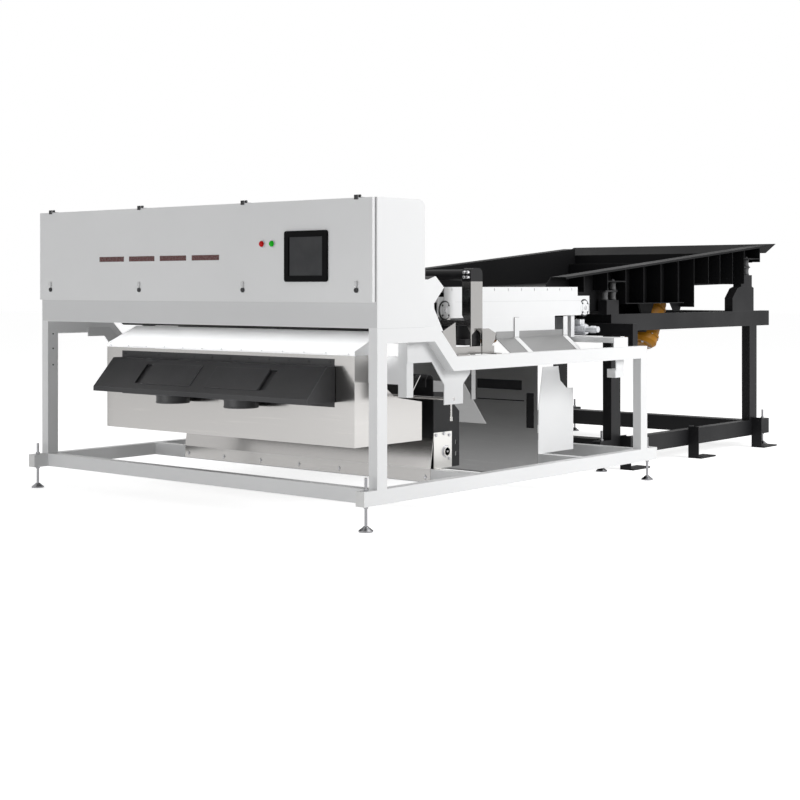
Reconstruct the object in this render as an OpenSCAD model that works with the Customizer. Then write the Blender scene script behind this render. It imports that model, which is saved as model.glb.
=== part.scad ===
// Belt-type optical colour sorter with its vibrating feeder.
// X runs across the machine, product travels along -Y, Z is up from the floor.
// Places are measured from the front face of the main frame.

/* [Main frame] */
// Overall width across the side frames
frame_w = 2860; // [2500:10:3200]
// Length of a side frame, front face to rear face
frame_l = 2740; // [2700:5:2900]
// Width of the frame tubes across the machine
tube_w = 60; // [50:1:70]
// Height of the frame tubes
tube_h = 80; // [70:1:90]
// Wall of the frame tubes
tube_wall = 4; // [3:0.5:6]
// Height of the floor rails' underside
rail_z = 135; // [120:1:150]
// Height of the side frames' front part
front_top = 1067; // [1050:1:1080]
// Height of the side frames' low rear part
rear_top = 896; // [880:1:910]
// Where the side frames start to step down
step_y = 519; // [505:1:530]
// Reach of the floor rails in front of the front posts
stub_front = 105; // [95:1:130]
// Reach of the floor rails behind the rear posts
stub_rear = 127; // [95:1:135]
// Depth of the cross rails
cross_d = 60; // [50:1:70]
// Front face of the middle cross rail
mid_rail_y = 905; // [895:1:915]

/* [Levelling feet] */
// Radius of a foot's bell
foot_r = 40; // [34:1:50]
// Height of a foot's bell
foot_h = 30; // [24:1:40]
// Radius of a foot's threaded stud
stud_r = 8; // [6:0.5:10]
// Reach of a stud above its rail
stud_reach = 70; // [50:1:100]
// Distance of the front feet before the front posts
foot_inset = 57; // [52:1:60]
// Distance of the rear feet behind the rear posts
foot_rear = 50; // [48:1:60]

/* [Cabinet] */
// Depth of the cabinet
cab_d = 399; // [380:1:420]
// Height of the cabinet's top
cab_top = 1763; // [1740:1:1800]
// Radius of the cabinet's top rear edge
cab_r = 40; // [20:1:60]
// Sheet thickness of the cabinet
sheet = 3; // [2:0.5:4]
// Height of the fascia's top, where the door opening starts
sill_top = 1204; // [1190:1:1215]
// Width of the flange round the door opening
flange_w = 30; // [24:1:36]
// Thickness of the door seal
seal_t = 3; // [2:0.5:5]
// Depth of the door tray
door_d = 23; // [18:1:30]
// Margin between the door and the cabinet's edge at each side
door_side = 12; // [8:1:16]
// Distance of the outer hinges and locks from the cabinet's side
lock_inset = 124; // [110:1:140]
// Height of the quarter-turn locks
lock_z = 1270; // [1262:1:1280]
// Radius of a lock's head
lock_r = 14; // [12:0.5:17]

/* [Controls] */
// Width of the operator screen's bezel
screen_w = 323; // [300:1:340]
// Height of the operator screen's bezel
screen_h = 280; // [260:1:290]
// Middle of the screen, across
screen_x = 941; // [925:1:960]
// Middle of the screen, height
screen_z = 1455; // [1445:1:1465]
// Width of the visible glass
glass_w = 246; // [230:1:256]
// Height of the visible glass
glass_h = 212; // [200:1:222]
// Width of one display window
display_w = 230; // [210:1:245]
// Height of one display window
display_h = 30; // [24:1:36]
// Distance between display windows
display_pitch = 280; // [270:1:288]
// Left edge of the first display window
display_x = -819; // [-840:1:-800]
// Middle height of the displays
display_z = 1457; // [1440:1:1470]
// Height of the push buttons
button_z = 1528; // [1515:1:1540]
// Middle of the stop button, across
button_x = 602; // [592:1:612]
// Distance between the two push buttons
button_pitch = 79; // [70:1:90]
// Radius of a push button's cap
button_r = 17; // [15:0.5:19]
// Travel of a push button
button_travel = 3; // [2:0.5:4]

/* [Separation box and hood] */
// Half width of the separation box and the chute parts
box_x = 1063; // [1040:1:1075]
// Front face of the separation box
box_y = 233; // [225:1:245]
// Rear face of the separation box
box_back = 822; // [810:1:830]
// Underside of the separation box
box_z = 394; // [380:1:404]
// Height of the box's front wall
box_top = 904; // [896:1:912]
// Half width of the dust hood
hood_x = 918; // [900:1:930]
// Reach of the hood in front of the box
hood_d = 229; // [215:1:232]
// Underside of the hood's front lip
hood_z = 640; // [632:1:648]
// Height of the hood's front lip
hood_lip = 28; // [24:1:34]
// Radius of the hood's suction spigots
spigot_r = 100; // [80:1:100]
// Length of the spigots below the hood
spigot_l = 52; // [36:1:54]
// Half distance between the spigots
spigot_x = 294; // [270:1:300]

/* [Conveyor] */
// Half width over the conveyor's side covers
conv_x = 1063; // [1055:1:1070]
// Axis of the head roller, along
head_y = 1043; // [1035:1:1050]
// Axis of the tail roller, along
tail_y = 2549; // [2540:1:2560]
// Height of the roller axes
roller_z = 1148; // [1144:1:1152]
// Radius of the rollers
roller_r = 44; // [40:1:46]
// Thickness of the belt
belt_t = 3; // [2:0.5:4]
// Half width of the belt
belt_x = 1000; // [985:1:1010]
// Radius of the roller shafts
shaft_r = 15; // [12:0.5:18]

/* [Feeder] */
// Outer half width of the feeder's frame
fd_x = 950; // [930:1:960]
// Width of the feeder's frame tubes
fd_tube = 70; // [60:1:80]
// Height of the feeder's frame tubes
fd_tube_h = 120; // [110:1:130]
// Front face of the feeder's front posts
fd_y = 3061; // [3055:1:3070]
// Rear end of the feeder's rails
fd_end = 5466; // [5440:1:5480]
// Front face of the feeder's rear posts
fd_rear_y = 5130; // [5120:1:5140]
// Height of the feeder frame's top
fd_top = 1095; // [1085:1:1100]
// Underside of the feeder's floor rails
fd_low = 95; // [90:1:105]

/* [Feeder pan] */
// Half width of the pan over its side walls
pan_x = 985; // [975:1:995]
// Front end of the pan
pan_y = 2388; // [2380:1:2400]
// Rear end of the pan's side walls
pan_end = 5345; // [5335:1:5355]
// Height of the pan's top edge at the front rib
pan_front_z = 1354; // [1345:1:1362]
// Rise of the pan's top edge per length
pan_rise_share = 0.0935; // [0.085:0.001:0.1]
// Height of the pan's floor at the front end
floor_z = 1246; // [1242:1:1250]
// Rise of the pan's floor per length
floor_rise_share = 0.03; // [0.027:0.001:0.033]
// Sheet thickness of the pan
pan_t = 4; // [3:0.5:6]
// Reach of the flared rear lip behind the side walls
lip_d = 166; // [150:1:175]
// Radius of a rubber spring
spring_r = 26; // [22:1:30]
// Height of a rubber spring
spring_h = 58; // [50:1:62]
// Radius of a vibration motor
motor_r = 120; // [105:1:125]
// Tilt of the vibration motors from the vertical
motor_tilt = 27; // [22:1:32]

/* [Hidden] */
$fn = 48;

// Main frame, derived
side_x = frame_w / 2 - tube_w;
side_mid = side_x + tube_w / 2;
rail_top = rail_z + tube_h;
cap_t = 3;
plug_d = 20;
plug_fit = 0.3;
rail_front = cap_t - stub_front;
rail_back = frame_l + stub_rear - cap_t;
step_drop = front_top - rear_top;
miter = tube_h * tan(22.5);
post_hole_r = 4;
post_hole_y_share = 0.57;
post_hole_shares = [0.82, 0.85, 0.94];
eps = 0.5;
stud_fit = 0.4;
sorter_feet_y = [-foot_inset, frame_l + foot_rear];
chute_rail_y = 2007;
lip_z = 1487;
lip_h = 79;
lip_top = 1639;
pan_back = pan_end + lip_d;
lip_run = [lip_d + pan_t / 2, lip_top - lip_z - lip_h];
lip_over = pan_t / 2 * lip_run[1] / norm(lip_run);
mid_y = (pan_back + lip_over - stub_front) / 2;

// Rear beam
beam_y = 2367;
beam_d = 170;
beam_h = 62;
beam_lip = 33;
beam_t = 4;
bracket_t = 6;
hanger_drop = 145;
hanger_w = 92;
step_block = [64, 106, 56];

// Feet
foot_rim = 8;
foot_neck_r = 13;
foot_shoulder_shares = [0.333, 0.72];
nut_r = 14;
nut_h = 12;

// Cabinet, derived
cab_x = frame_w / 2;
door_gap = 1.5;
door_x = cab_x - door_side;
door_z0 = sill_top + door_gap;
door_z1 = cab_top - door_gap;
door_y = -seal_t - door_d;
door_sheet = 2.5;
seal_w = 12;
sill_return = 20;
lock_x = cab_x - lock_inset;
lock_inner_share = 0.3415;
lock_xs = [-lock_x, -lock_x * lock_inner_share, lock_x * lock_inner_share, lock_x];
lock_shaft_r = 8;
lock_fit = 0.05;
lock_head_t = 6;
lock_cam_l = 45;
lock_cam_w = 16;
lock_cam_t = 4;
lock_cam_gap = 1;
key_slot = [3, 16, 2];
lock_cap_r = 9;
lock_cap_up = 35;
lock_cap_t = 3;
panel_t = 3;
panel_y = 340;
panel_inset = 130;
panel_z0 = 1130;
panel_z1 = 1700;
standoff_r = 8;
standoff_in = [95, 32];
unit_size = [260, 110, 190];
unit_pitch = 380;
unit_places = [-2.5, -1.5, -0.5, 0.5, 1.5, 2.5];
supply_places = [-2, -1, 0, 1, 2];
supply_size = [200, 90, 120];
cable_hole_r = 25;

// Door hinges
hinge_w = 30;
hinge_mid = 12;
hinge_play = 0.5;
hinge_r = 7;
hinge_up = 9;
hinge_back = 10;
pin_r = 3.5;
pin_fit = 0.05;
leaf_t = 3;
leaf_d = 25;
hinge_y = -hinge_back;
hinge_z = cab_top + hinge_up;

// Controls, derived
bezel_t = 8;
bezel_r = 16;
glass_t = 3;
glass_recess = 5;
terminal_lip = 10;
terminal_d = 60;
terminal_fit = 0.3;
display_fit = 0.3;
display_proud = 1.5;
display_rim = 6;
display_t = 3;
button_gap = 0.3;
button_cap_t = 6;
button_stem_r = 11;
button_fit = 0.05;
button_stem_l = 30;

// Optics behind the cabinet
optics_x = 1300;
optics_plate_t = 6;
optics_d = 333;
optics_h = 312;
optics_z = 1036;
optics_top_shares = [[0, 0.94], [0.58, 0.94], [0.77, 1], [1, 0.795]];
optics_low_shares = [[0.724, 0.506], [0.733, 0.407], [0.976, 0], [0.483, 0], [0.3, 0.125], [0, 0.125]];
optics_lip = 16;
optics_t = 3;
window_t = 5;
window_gap = 0.1;
shelf_share = 0.53;
shelf_end_share = 0.66;
camera_size = [90, 150, 74];
camera_pitch = 560;
camera_count = 4;
camera_gap = 18;
lens_r = 24;
lens_l = 36;
led_w = 24;
led_h = 16;
led_x = 1050;
ejector_w = 44;
ejector_t = 30;
nozzle_r = 3.5;
nozzle_l = 12;
nozzle_slot = 10;
nozzle_pitch = 50;
valve_size = [60, 30, 24];
valve_pitch = 200;
valve_half = 5;

// Columns and the light beam
base_x = 1300;
base_t = 6;
base_foot_w = 100;
base_plate_front_shares = [[0, 0], [-0.06, 0.985], [0.64, 1.33], [0.68, 0]];
base_plate_h = 141;
base_end_shares = [0.68, 0.35, 0.78];
base_front_y = 735;
base_plate_d = 160;
base_rear_y = 1095;
base_plate_rear_shares = [[0, 0], [0, 1.04], [0.39, 1.04], [0.83, 0.84], [0.78, 0.57], [0.35, 0]];
carrier_h = 44;
col_x = 1270;
col_w = 66;
col_y = 1022;
col_d = 113;
col_t = 5;
col_top = 1319;
col_foot = 890;
col_h = 306;
tube_y = 1045;
tube_d = 55;
tube_z = 1062;
tube_rise = 30;
col_notch_w = 97;
col_notch_h = 117;
col_notch_tip = 32;
col_cut_h = 110;
head_h = 79;
head_r = 34;
light_r = 32;
low_box_y = 980;
low_box_d = 122;
low_box_x = 66;
low_box_z = 946;
low_box_h = 113;
low_tray_h = 36;
low_tray_t = 3;

// Inner hangers
gusset_t = 6;
gusset_pts_shares = [[0, 0.62], [0.38, 0.62], [0.55, 0.33], [0.576, 0.29], [0.576, 0], [0.88, 0],
    [0.88, 0.28], [1, 0.43], [1, 0.55], [0.64, 0.57], [0.32, 1], [0, 1]];
gusset_left_shares = concat([[0, 0.854], [0.243, 0.854]], [for (i = [2 : 11]) gusset_pts_shares[i]]);
gusset_y = 321;
gusset_z = 624;
gusset_d = 564;
gusset_h = 396;
hanger_x = 60;
hanger_y = 321;
hanger_z = 682;
hanger_d = 57;
hanger_in = side_x - gusset_t - hanger_x;
tie_t = 6;
tie_y = 346;
tie_z = 750;
tie_h = 154;

// Separation box and hood
box_t = 3;
box_side_shares = [[0, 0], [1, 0], [1, 0.44], [0.655, 0.502], [0.56, 0.537], [0.47, 0.614],
    [0.37, 0.78], [0.3, 1], [0, 1]];
box_back_h = 224;
lid_lip = 23;
lid_y = 472;
lid_top = 1032;
lid_end = 540;
lid_t = 3;
lid_side = 167;
hood_t = 4;
hood_plate_x = 910;
hood_plate_z = 613;
hood_plate_h = 271;
hood_top = 843;
hood_top_d = 68;
hood_plate_t = 4;
hatch_w = 441;
hatch_x = 62;
hatch_t = 4;
hatch_shares = [0.17, 0.84];
groove_shares = [0.19, 0.82];
groove_w = 56;
groove_d = 16;
spigot_y = 108;
spigot_t = 4;

// Chute
apron_t = 3;
apron_low = 140;
apron_fold = 217;
apron_top = 397;
apron_back = 930;
slot_count = 7;
slot_pitch = 342;
slot_r = 5;
slot_l = 22;
slot_z = 168;
wall_t = 5;
wall_y = 935;
wall_top = 735;
wall_roll_r = 34;
splitter_y = 732;
splitter_z = 652;
splitter_r = 9;
splitter_fit = 0.05;
splitter_t = 6;
splitter_l = 150;
splitter_lean = 38;
splitter_inset = 13;
splitter_gap = 1;
lever_r = 5;
lever_l = 100;
lever_grip = 24;
lever_ball_r = 8;
lever_inset = 13;
plate_t = 6;
chute_shares = [[0, 0], [0, 1], [0.43, 0.987], [1, 0.72], [1, 0]];
chute_y = 932;
chute_d = 247;
chute_h = 455;
chute_slot_y = 1148;
chute_slot_z = [290, 360];
chute_slot_r = 9;
chute_slot_l = 12;
bearing_y = 930;
bearing_d = 171;
bearing_h = 213;
bearing_t = 4;
bearing_foot = 50;
bearing_disc_r = 30;
bearing_disc_t = 12;
bearing_disc_y = 1044;
bearing_disc_z = 311;
bearing_hole_r = 6;
bearing_hole_shares = [[0.12, 0.93], [0.55, 0.95], [0.85, 0.9], [0.85, 0.25]];
deflector_t = 3;
deflector_top = [1232, 707];
deflector_end = [1457, 447];
deflector_bend = 18;
strap_y = 1300;
strap_w = 40;
strap_t = 6;
strap_z = 604;
rear_t = 3;
rear_low = 139;
rear_top_z = 793;
rear_window = [362, 63];
rear_window_x = 574;
rear_window_z = 619;
rear_slot = [380, 7];
rear_slot_z = 547;
rear_bar = [60, 226];
rear_bar_x = 971;
rear_bar_z = 377;
side_t = 3;
side_d = 404;
side_h = 556;
side_shares = [[0, 0], [0.013, 0.54], [0.13, 1], [0.57, 1], [0.62, 0.83], [0.8, 0.737],
    [1, 0.73], [1, 0]];
skirt_t = 3;
skirt_y = 1549;
skirt_d = 790;
skirt_top = 1010;
skirt_bend = 968;
skirt_out = 110;
skirt_drop = 89;
skirt_strap_w = 50;
skirt_strap_t = 3;
skirt_strap_shares = [0.24, 0.93];

// Conveyor, derived
belt_play = 0.3;
belt_in_r = roller_r + belt_play;
belt_low = roller_z - belt_in_r - belt_t;
cover_t = 3;
upper_y = 1037;
upper_d = 1431;
upper_h = 90;
cover_split = 1197;
cover_lap = 10;
lower_y = 1082;
lower_d = 1434;
lower_z = 1100;
lower_nose = 14;
cover_slots = 10;
cover_slot = [6, 16];
cover_slot_down = 24;
bed_t = 7;
bed_y = 1110;
bed_d = 1372;
tie_tube = [40, 24];
tie_ys = [1150, 1480, 1810, 2140, 2408];
under_y = 1411;
under_d = 784;
under_z = 993;
under_t = 3;
under_gap = 4;
leg_w = 40;
leg_x = 1008;
arm_t = 6;
arm_x = conv_x - 2 * cover_t - arm_t;
arm_z = 1106;
arm_h = 122;
arm_l = 66;
arm_back = 100;
bearing_r = 32;
flange_t = 12;
shaft_reach = 14;
shaft_fit = 0.05;
pulley_x = belt_x + 10;
pulley_w = 20;
drive_r = 14;
tail_pulley_r = 28;
drive_y = 2500;
drive_z = 1060;
gear_x = 856;
gear_w = 122;
gear_d = 100;
gear_h = 127;
motor_axis_z = 1006;
motor_flange_r = 32;
motor_flange_l = 132;
motor_tail_r = 20;
motor_tail_l = 91;
drive_shaft_r = 8;
toothed_t = 3;
drive_bore_l = 40;
shaft_gap = 1;

// Feeder, derived
fd_in = fd_x - fd_tube;
fd_post_d = 120;
fd_low_front = 2920;
fd_foot_inset = 46;
fd_feet_y = [fd_low_front + 70, fd_end - fd_foot_inset];
pedestal_front_y = 3003;
pedestal_front_d = 155;
pedestal_front_h = 100;
pedestal_rear_y = 4842;
pedestal_rear_d = 356;
pedestal_rear_h = 287;
pedestal_shares = [[0, 0], [0, 0.362], [0.228, 0.63], [0.402, 0.68], [0.402, 1], [0.913, 1],
    [0.913, 0.68], [1, 0.645], [1, 0]];
spring_gap = 11;
spring_pitch = 104;
spring_front_y = 3028;
spring_rear_y = 5025;
spring_plate_over = 26;
front_shelf_z = 1322;
rear_shelf_z = 1509;
spring_stack = 2 * spring_h + spring_gap;
spring_x = fd_x - fd_tube / 2;
front_block = [213, 62, 88];
front_block_z = 945;
front_leg = [48, 77];
anchor_ys = [3176, 4140, 5160];
anchor_w = 88;
anchor_d = 75;
anchor_h = 240;
anchor_wall = 6;
anchor_slot = [12, 130];
anchor_slot_z = 80;
anchor_slot_shares = [0.3, 0.7];
anchor_base_d = 226;
anchor_base_w = 110;
anchor_base_t = 12;
anchor_hole_r = 9;
anchor_hole_in = 35;

// Pan, derived
wall_x = 864;
rib_t = 5;
nose_rib_ys = [2660, 2956];
girder_rib_ys = [3194, 3438, 3677, 3926];
hook_rib_y = 4164;
rear_rib_ys = [4386, 4569, 4774, 4965];
pan_nose = 58;
pan_drop = 48;
girder_y0 = girder_rib_ys[0];
girder_y1 = 4015;
girder_z = 1168;
hook_y = 4165;
hook_w = 100;
hook_z = 1106;
hook_end = 4257;
hook_end_z = 1296;
shelf_start = 4848;
shelf_start_z = 1308;
rib_end_z = 1312;
rib_rise = 30;
trough_end = 5240;
rim_lip = 14;
mount_t = 14;
mount_gap = 8;
mount_low = 150;
mount_high = 345;
mount_w = 230;
mount_toe = 150;
motor_x = 735;
motor_y = 3880;
motor_z = 1032;
motor_half = 190;
motor_wall = 10;
motor_edge = 26;
foot_w = 160;
foot_half = 110;
foot_start = 30;
rotor_shaft_r = 18;
rotor_fit = 0.05;
rotor_core_r = 62;
rotor_core_half = 70;
rotor_gap = 0;
bearing_skin = 3;
weight_r = 92;
weight_t = 34;

function unit_of(v) = v / norm(v);
function side_normal(v) = [-v[1], v[0]];
function floor_at(y) = floor_z + floor_rise_share * (y - pan_y);
function rim_at(y) = pan_front_z + pan_rise_share * (y - pan_y - pan_nose);
function optics_pt(share) = [cab_d + share[0] * optics_d, optics_z + share[1] * optics_h];

// Moves a shape from the frame's front face to the middle of the whole machine
module at_centre() {
    translate([0, -mid_y, 0]) children();
}

// A profile in the Y-Z plane, from x over t
module along_x(x, t) {
    translate([x, 0, 0]) rotate([90, 0, 90]) linear_extrude(t) children();
}

// A profile in the X-Z plane, from y over t
module along_y(y, t) {
    translate([0, y + t, 0]) rotate([90, 0, 0]) linear_extrude(t) children();
}

module block(x0, x1, y0, y1, z0, z1) {
    translate([x0, y0, z0]) cube([x1 - x0, y1 - y0, z1 - z0]);
}

module rod_x(x0, x1, y, z, r) {
    translate([x0, y, z]) rotate([0, 90, 0]) cylinder(r = r, h = x1 - x0);
}

module rod_y(y0, y1, x, z, r) {
    translate([x, y1, z]) rotate([90, 0, 0]) cylinder(r = r, h = y1 - y0);
}

module rod_z(z0, z1, x, y, r) {
    translate([x, y, z0]) cylinder(r = r, h = z1 - z0);
}

module both_sides() {
    children();
    mirror([1, 0, 0]) children();
}

// One straight piece of bent sheet between two points
module strip(p, q, t) {
    n = side_normal(unit_of(q - p)) * t / 2;
    polygon([p - n, q - n, q + n, p + n]);
}

// Bent sheet along a row of points, with round bends
module sheet_path(pts, t) {
    for (i = [0 : len(pts) - 2]) strip(pts[i], pts[i + 1], t);
    for (i = [1 : len(pts) - 2]) translate(pts[i]) circle(r = t / 2);
}

// The outline of a belt round two pulleys, grown by g
module belt_loop(p, rp, q, rq, g) {
    d = q - p;
    turn = acos((rp - rq) / norm(d));
    a = atan2(d[1], d[0]);
    up = [cos(a + turn), sin(a + turn)];
    down = [cos(a - turn), sin(a - turn)];
    translate(p) circle(r = rp + g);
    translate(q) circle(r = rq + g);
    polygon([p + up * (rp + g), q + up * (rq + g), q + down * (rq + g), p + down * (rp + g)]);
}

module rounded_rect(w, h, r) {
    square([w, h - 2 * r], center = true);
    square([w - 2 * r, h], center = true);
    for (x = [-1, 1], z = [-1, 1]) translate([x * (w / 2 - r), z * (h / 2 - r)]) circle(r = r);
}

module side_profile() {
    difference() {
        polygon([[0, rail_z], [frame_l, rail_z], [frame_l, rear_top], [step_y + step_drop, rear_top],
            [step_y, front_top], [0, front_top]]);
        polygon([[tube_h, rail_top], [frame_l - tube_h, rail_top],
            [frame_l - tube_h, rear_top - tube_h], [step_y + step_drop - miter, rear_top - tube_h],
            [step_y - miter, front_top - tube_h], [tube_h, front_top - tube_h]]);
    }
    translate([rail_front, rail_z]) square([rail_back - rail_front, tube_h]);
}

module side_frame() {
    at_centre() difference() {
        along_x(side_x, tube_w) side_profile();
        for (y = [rail_front - eps, rail_back - plug_d - eps])
            block(side_x + tube_wall, cab_x - tube_wall, y, y + plug_d + 2 * eps,
                rail_z + tube_wall, rail_top - tube_wall);
        for (y = sorter_feet_y) rod_z(rail_z - eps, rail_top + eps, side_mid, y, stud_r + stud_fit);
        for (share = post_hole_shares)
            rod_x(side_x - eps, side_x + tube_wall, tube_h * post_hole_y_share, front_top * share,
                post_hole_r);
    }
}

module right_side_frame() {
    color("white") side_frame();
}

module left_side_frame() {
    color("white") mirror([1, 0, 0]) side_frame();
}

module floor_cross(y) {
    block(-side_x, side_x, y, y + cross_d, rail_z, rail_top);
}

module beam_profile() {
    translate([beam_y, rear_top + beam_h - beam_t]) square([beam_d, beam_t]);
    for (y = [beam_y, beam_y + beam_d - beam_t])
        translate([y, rear_top + beam_h - beam_lip]) square([beam_t, beam_lip]);
}

module cross_rails() {
    color("white") at_centre() {
        floor_cross(0);
        floor_cross(mid_rail_y);
        floor_cross(chute_rail_y);
        floor_cross(frame_l - cross_d);
        along_x(-side_mid, 2 * side_mid) beam_profile();
        both_sides() {
            block(side_mid, side_mid + bracket_t, beam_y, beam_y + beam_d, rear_top,
                rear_top + beam_h);
            block(side_x - bracket_t, side_x, beam_y + beam_d / 2, beam_y + beam_d / 2 + hanger_w,
                rear_top - hanger_drop, rear_top + beam_h - beam_t);
            translate([side_x - bracket_t - step_block[0], beam_y + beam_d / 2,
                rear_top - hanger_drop - step_block[2]])
                cube(step_block);
            block(side_x - bracket_t - step_block[0] / 2, side_x, beam_y + beam_d / 2,
                beam_y + beam_d / 2 + hanger_w, rear_top - hanger_drop - bracket_t,
                rear_top - hanger_drop);
        }
    }
}

module end_cap(y, dir) {
    y_out = y + dir * cap_t;
    y_in = y - dir * plug_d;
    block(side_x, cab_x, min(y, y_out), max(y, y_out), rail_z, rail_top);
    block(side_x + tube_wall + plug_fit, cab_x - tube_wall - plug_fit, min(y, y_in), max(y, y_in),
        rail_z + tube_wall + plug_fit, rail_top - tube_wall - plug_fit);
}

module rail_end_caps() {
    color("dimgray") at_centre() both_sides() {
        end_cap(rail_front, -1);
        end_cap(rail_back, 1);
    }
}

module levelling_foot(x, y, low, high) {
    translate([x, y, 0]) {
        rotate_extrude() polygon([[0, 0], [foot_r, 0], [foot_r, foot_rim],
            [foot_neck_r + (foot_r - foot_neck_r) * foot_shoulder_shares[0],
                foot_h * foot_shoulder_shares[1]],
            [foot_neck_r, foot_h], [0, foot_h]]);
        cylinder(r = stud_r, h = high + stud_reach);
        translate([0, 0, low - nut_h]) cylinder(r = nut_r, h = nut_h, $fn = 6);
        translate([0, 0, high]) cylinder(r = nut_r, h = nut_h, $fn = 6);
    }
}

module levelling_feet() {
    color("silver") at_centre() both_sides() {
        for (y = sorter_feet_y) levelling_foot(side_mid, y, rail_z, rail_top);
        for (y = fd_feet_y) levelling_foot(spring_x, y, fd_low, fd_low + fd_tube_h);
    }
}

module cabinet_profile(inset) {
    r = cab_r - inset;
    d = cab_d - 2 * inset;
    h = cab_top - front_top - 2 * inset;
    translate([inset, front_top + inset]) {
        square([d - r, h]);
        square([d, h - r]);
        translate([d - r, h - r]) circle(r = r);
    }
}

module cabinet_shell() {
    color("white") at_centre() difference() {
        along_x(-cab_x, 2 * cab_x) cabinet_profile(0);
        along_x(sheet - cab_x, 2 * (cab_x - sheet)) cabinet_profile(sheet);
        block(flange_w - cab_x, cab_x - flange_w, -eps, sheet + eps, sill_top + flange_w,
            cab_top - flange_w);
        block(sheet - cab_x, cab_x - sheet, -eps, sheet + eps, front_top + sheet, sill_top);
        for (i = [0 : camera_count - 1])
            rod_y(cab_d - sheet - eps, cab_d + eps, camera_at(i), camera_z(), cable_hole_r);
    }
}

module cabinet_sill() {
    color("darkgray") at_centre() {
        block(sheet - cab_x, cab_x - sheet, 0, sheet, front_top + sheet, sill_top);
        block(sheet - cab_x, cab_x - sheet, 0, sill_return, sill_top - sheet, sill_top);
    }
}

module door_seal() {
    color("black") at_centre() along_y(-seal_t, seal_t) difference() {
        translate([-door_x + door_gap, door_z0 + door_gap])
            square([2 * (door_x - door_gap), door_z1 - door_z0 - 2 * door_gap]);
        translate([-door_x + door_gap + seal_w, door_z0 + door_gap + seal_w])
            square([2 * (door_x - door_gap - seal_w), door_z1 - door_z0 - 2 * (door_gap + seal_w)]);
    }
}

module electronics_panel() {
    half = cab_x - panel_inset;
    color("gainsboro") at_centre() {
        block(-half, half, panel_y, panel_y + panel_t, panel_z0, panel_z1);
        for (x = [standoff_in[0] - half, half - standoff_in[0]],
            z = [panel_z0 + standoff_in[1], panel_z1 - standoff_in[1]])
            rod_y(panel_y + panel_t, cab_d - sheet, x, z, standoff_r);
        for (i = unit_places)
            translate([i * unit_pitch - unit_size[0] / 2, panel_y - unit_size[1],
                (panel_z0 + panel_z1) / 2])
                cube(unit_size);
        for (i = supply_places)
            translate([i * unit_pitch - supply_size[0] / 2, panel_y - supply_size[1],
                panel_z0 + standoff_r])
                cube(supply_size);
    }
}

module hinge_knuckle(x0, x1) {
    rod_x(x0, x1, hinge_y, hinge_z, hinge_r);
}

module hinge_leaves() {
    half = hinge_w / 2;
    mid = hinge_mid / 2;
    color("black") at_centre() for (x = lock_xs) {
        for (side = [-1, 1]) {
            x_in = x + side * (mid + hinge_play);
            x_out = x + side * half;
            hinge_knuckle(min(x_in, x_out), max(x_in, x_out));
            block(min(x_in, x_out), max(x_in, x_out), hinge_y, leaf_d, cab_top, cab_top + leaf_t);
        }
        block(x - half, x + half, 0, leaf_d, cab_top, cab_top + leaf_t);
        rod_x(x - half, x + half, hinge_y, hinge_z, pin_r);
    }
}

module screen_hole(grow) {
    square([screen_w - 2 * terminal_lip + 2 * grow, screen_h - 2 * terminal_lip + 2 * grow],
        center = true);
}

module cabinet_door() {
    mid = hinge_mid / 2;
    color("whitesmoke") at_centre() {
        difference() {
            block(-door_x, door_x, door_y, -seal_t, door_z0, door_z1);
            block(door_sheet - door_x, door_x - door_sheet, door_y + door_sheet, eps,
                door_z0 + door_sheet, door_z1 - door_sheet);
            along_y(door_y - eps, door_sheet + 2 * eps) {
                translate([screen_x, screen_z]) screen_hole(terminal_fit);
                for (i = [0 : 3])
                    translate([display_x + i * display_pitch - display_fit,
                        display_z - display_h / 2 - display_fit])
                        square([display_w + 2 * display_fit, display_h + 2 * display_fit]);
            }
            for (i = [0, 1])
                rod_y(door_y - eps, door_y + door_sheet + eps, button_x + i * button_pitch, button_z,
                    button_stem_r + button_fit);
            for (x = lock_xs)
                rod_y(door_y - eps, door_y + door_sheet + eps, x, lock_z, lock_shaft_r + lock_fit);
        }
        for (x = lock_xs) {
            rod_y(door_y - lock_cap_t, door_y, x, lock_z + lock_cap_up, lock_cap_r);
            difference() {
                union() {
                    hinge_knuckle(x - mid, x + mid);
                    block(x - mid, x + mid, hinge_y - hinge_r, hinge_y + hinge_r, door_z1, hinge_z);
                }
                rod_x(x - mid - eps, x + mid + eps, hinge_y, hinge_z, pin_r + pin_fit);
            }
        }
    }
}

module screen_terminal() {
    color([0.06, 0.06, 0.07]) at_centre() difference() {
        union() {
            along_y(door_y - bezel_t, bezel_t) translate([screen_x, screen_z])
                rounded_rect(screen_w, screen_h, bezel_r);
            along_y(door_y, terminal_d) translate([screen_x, screen_z]) screen_hole(0);
        }
        along_y(door_y - bezel_t - eps, glass_recess + eps) translate([screen_x, screen_z])
            square([glass_w, glass_h], center = true);
    }
}

module screen_panel() {
    color([0.2, 0.2, 0.21]) at_centre()
        along_y(door_y - bezel_t + glass_recess - glass_t, glass_t) translate([screen_x, screen_z])
            square([glass_w - 2 * display_fit, glass_h - 2 * display_fit], center = true);
}

module display_strips() {
    color([0.35, 0.05, 0.05]) at_centre() for (i = [0 : 3]) {
        x = display_x + i * display_pitch;
        block(x, x + display_w, door_y - display_proud, door_y + door_sheet,
            display_z - display_h / 2, display_z + display_h / 2);
        block(x - display_rim, x + display_w + display_rim, door_y + door_sheet,
            door_y + door_sheet + display_t, display_z - display_h / 2 - display_rim,
            display_z + display_h / 2 + display_rim);
    }
}

// Cap stands clear of the door by its travel, the stem slides in the door's hole
module push_button(x) {
    back = door_y - button_travel - button_gap;
    at_centre() {
        rod_y(back - button_cap_t, back, x, button_z, button_r);
        rod_y(back - eps, back + button_stem_l, x, button_z, button_stem_r);
    }
}

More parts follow.
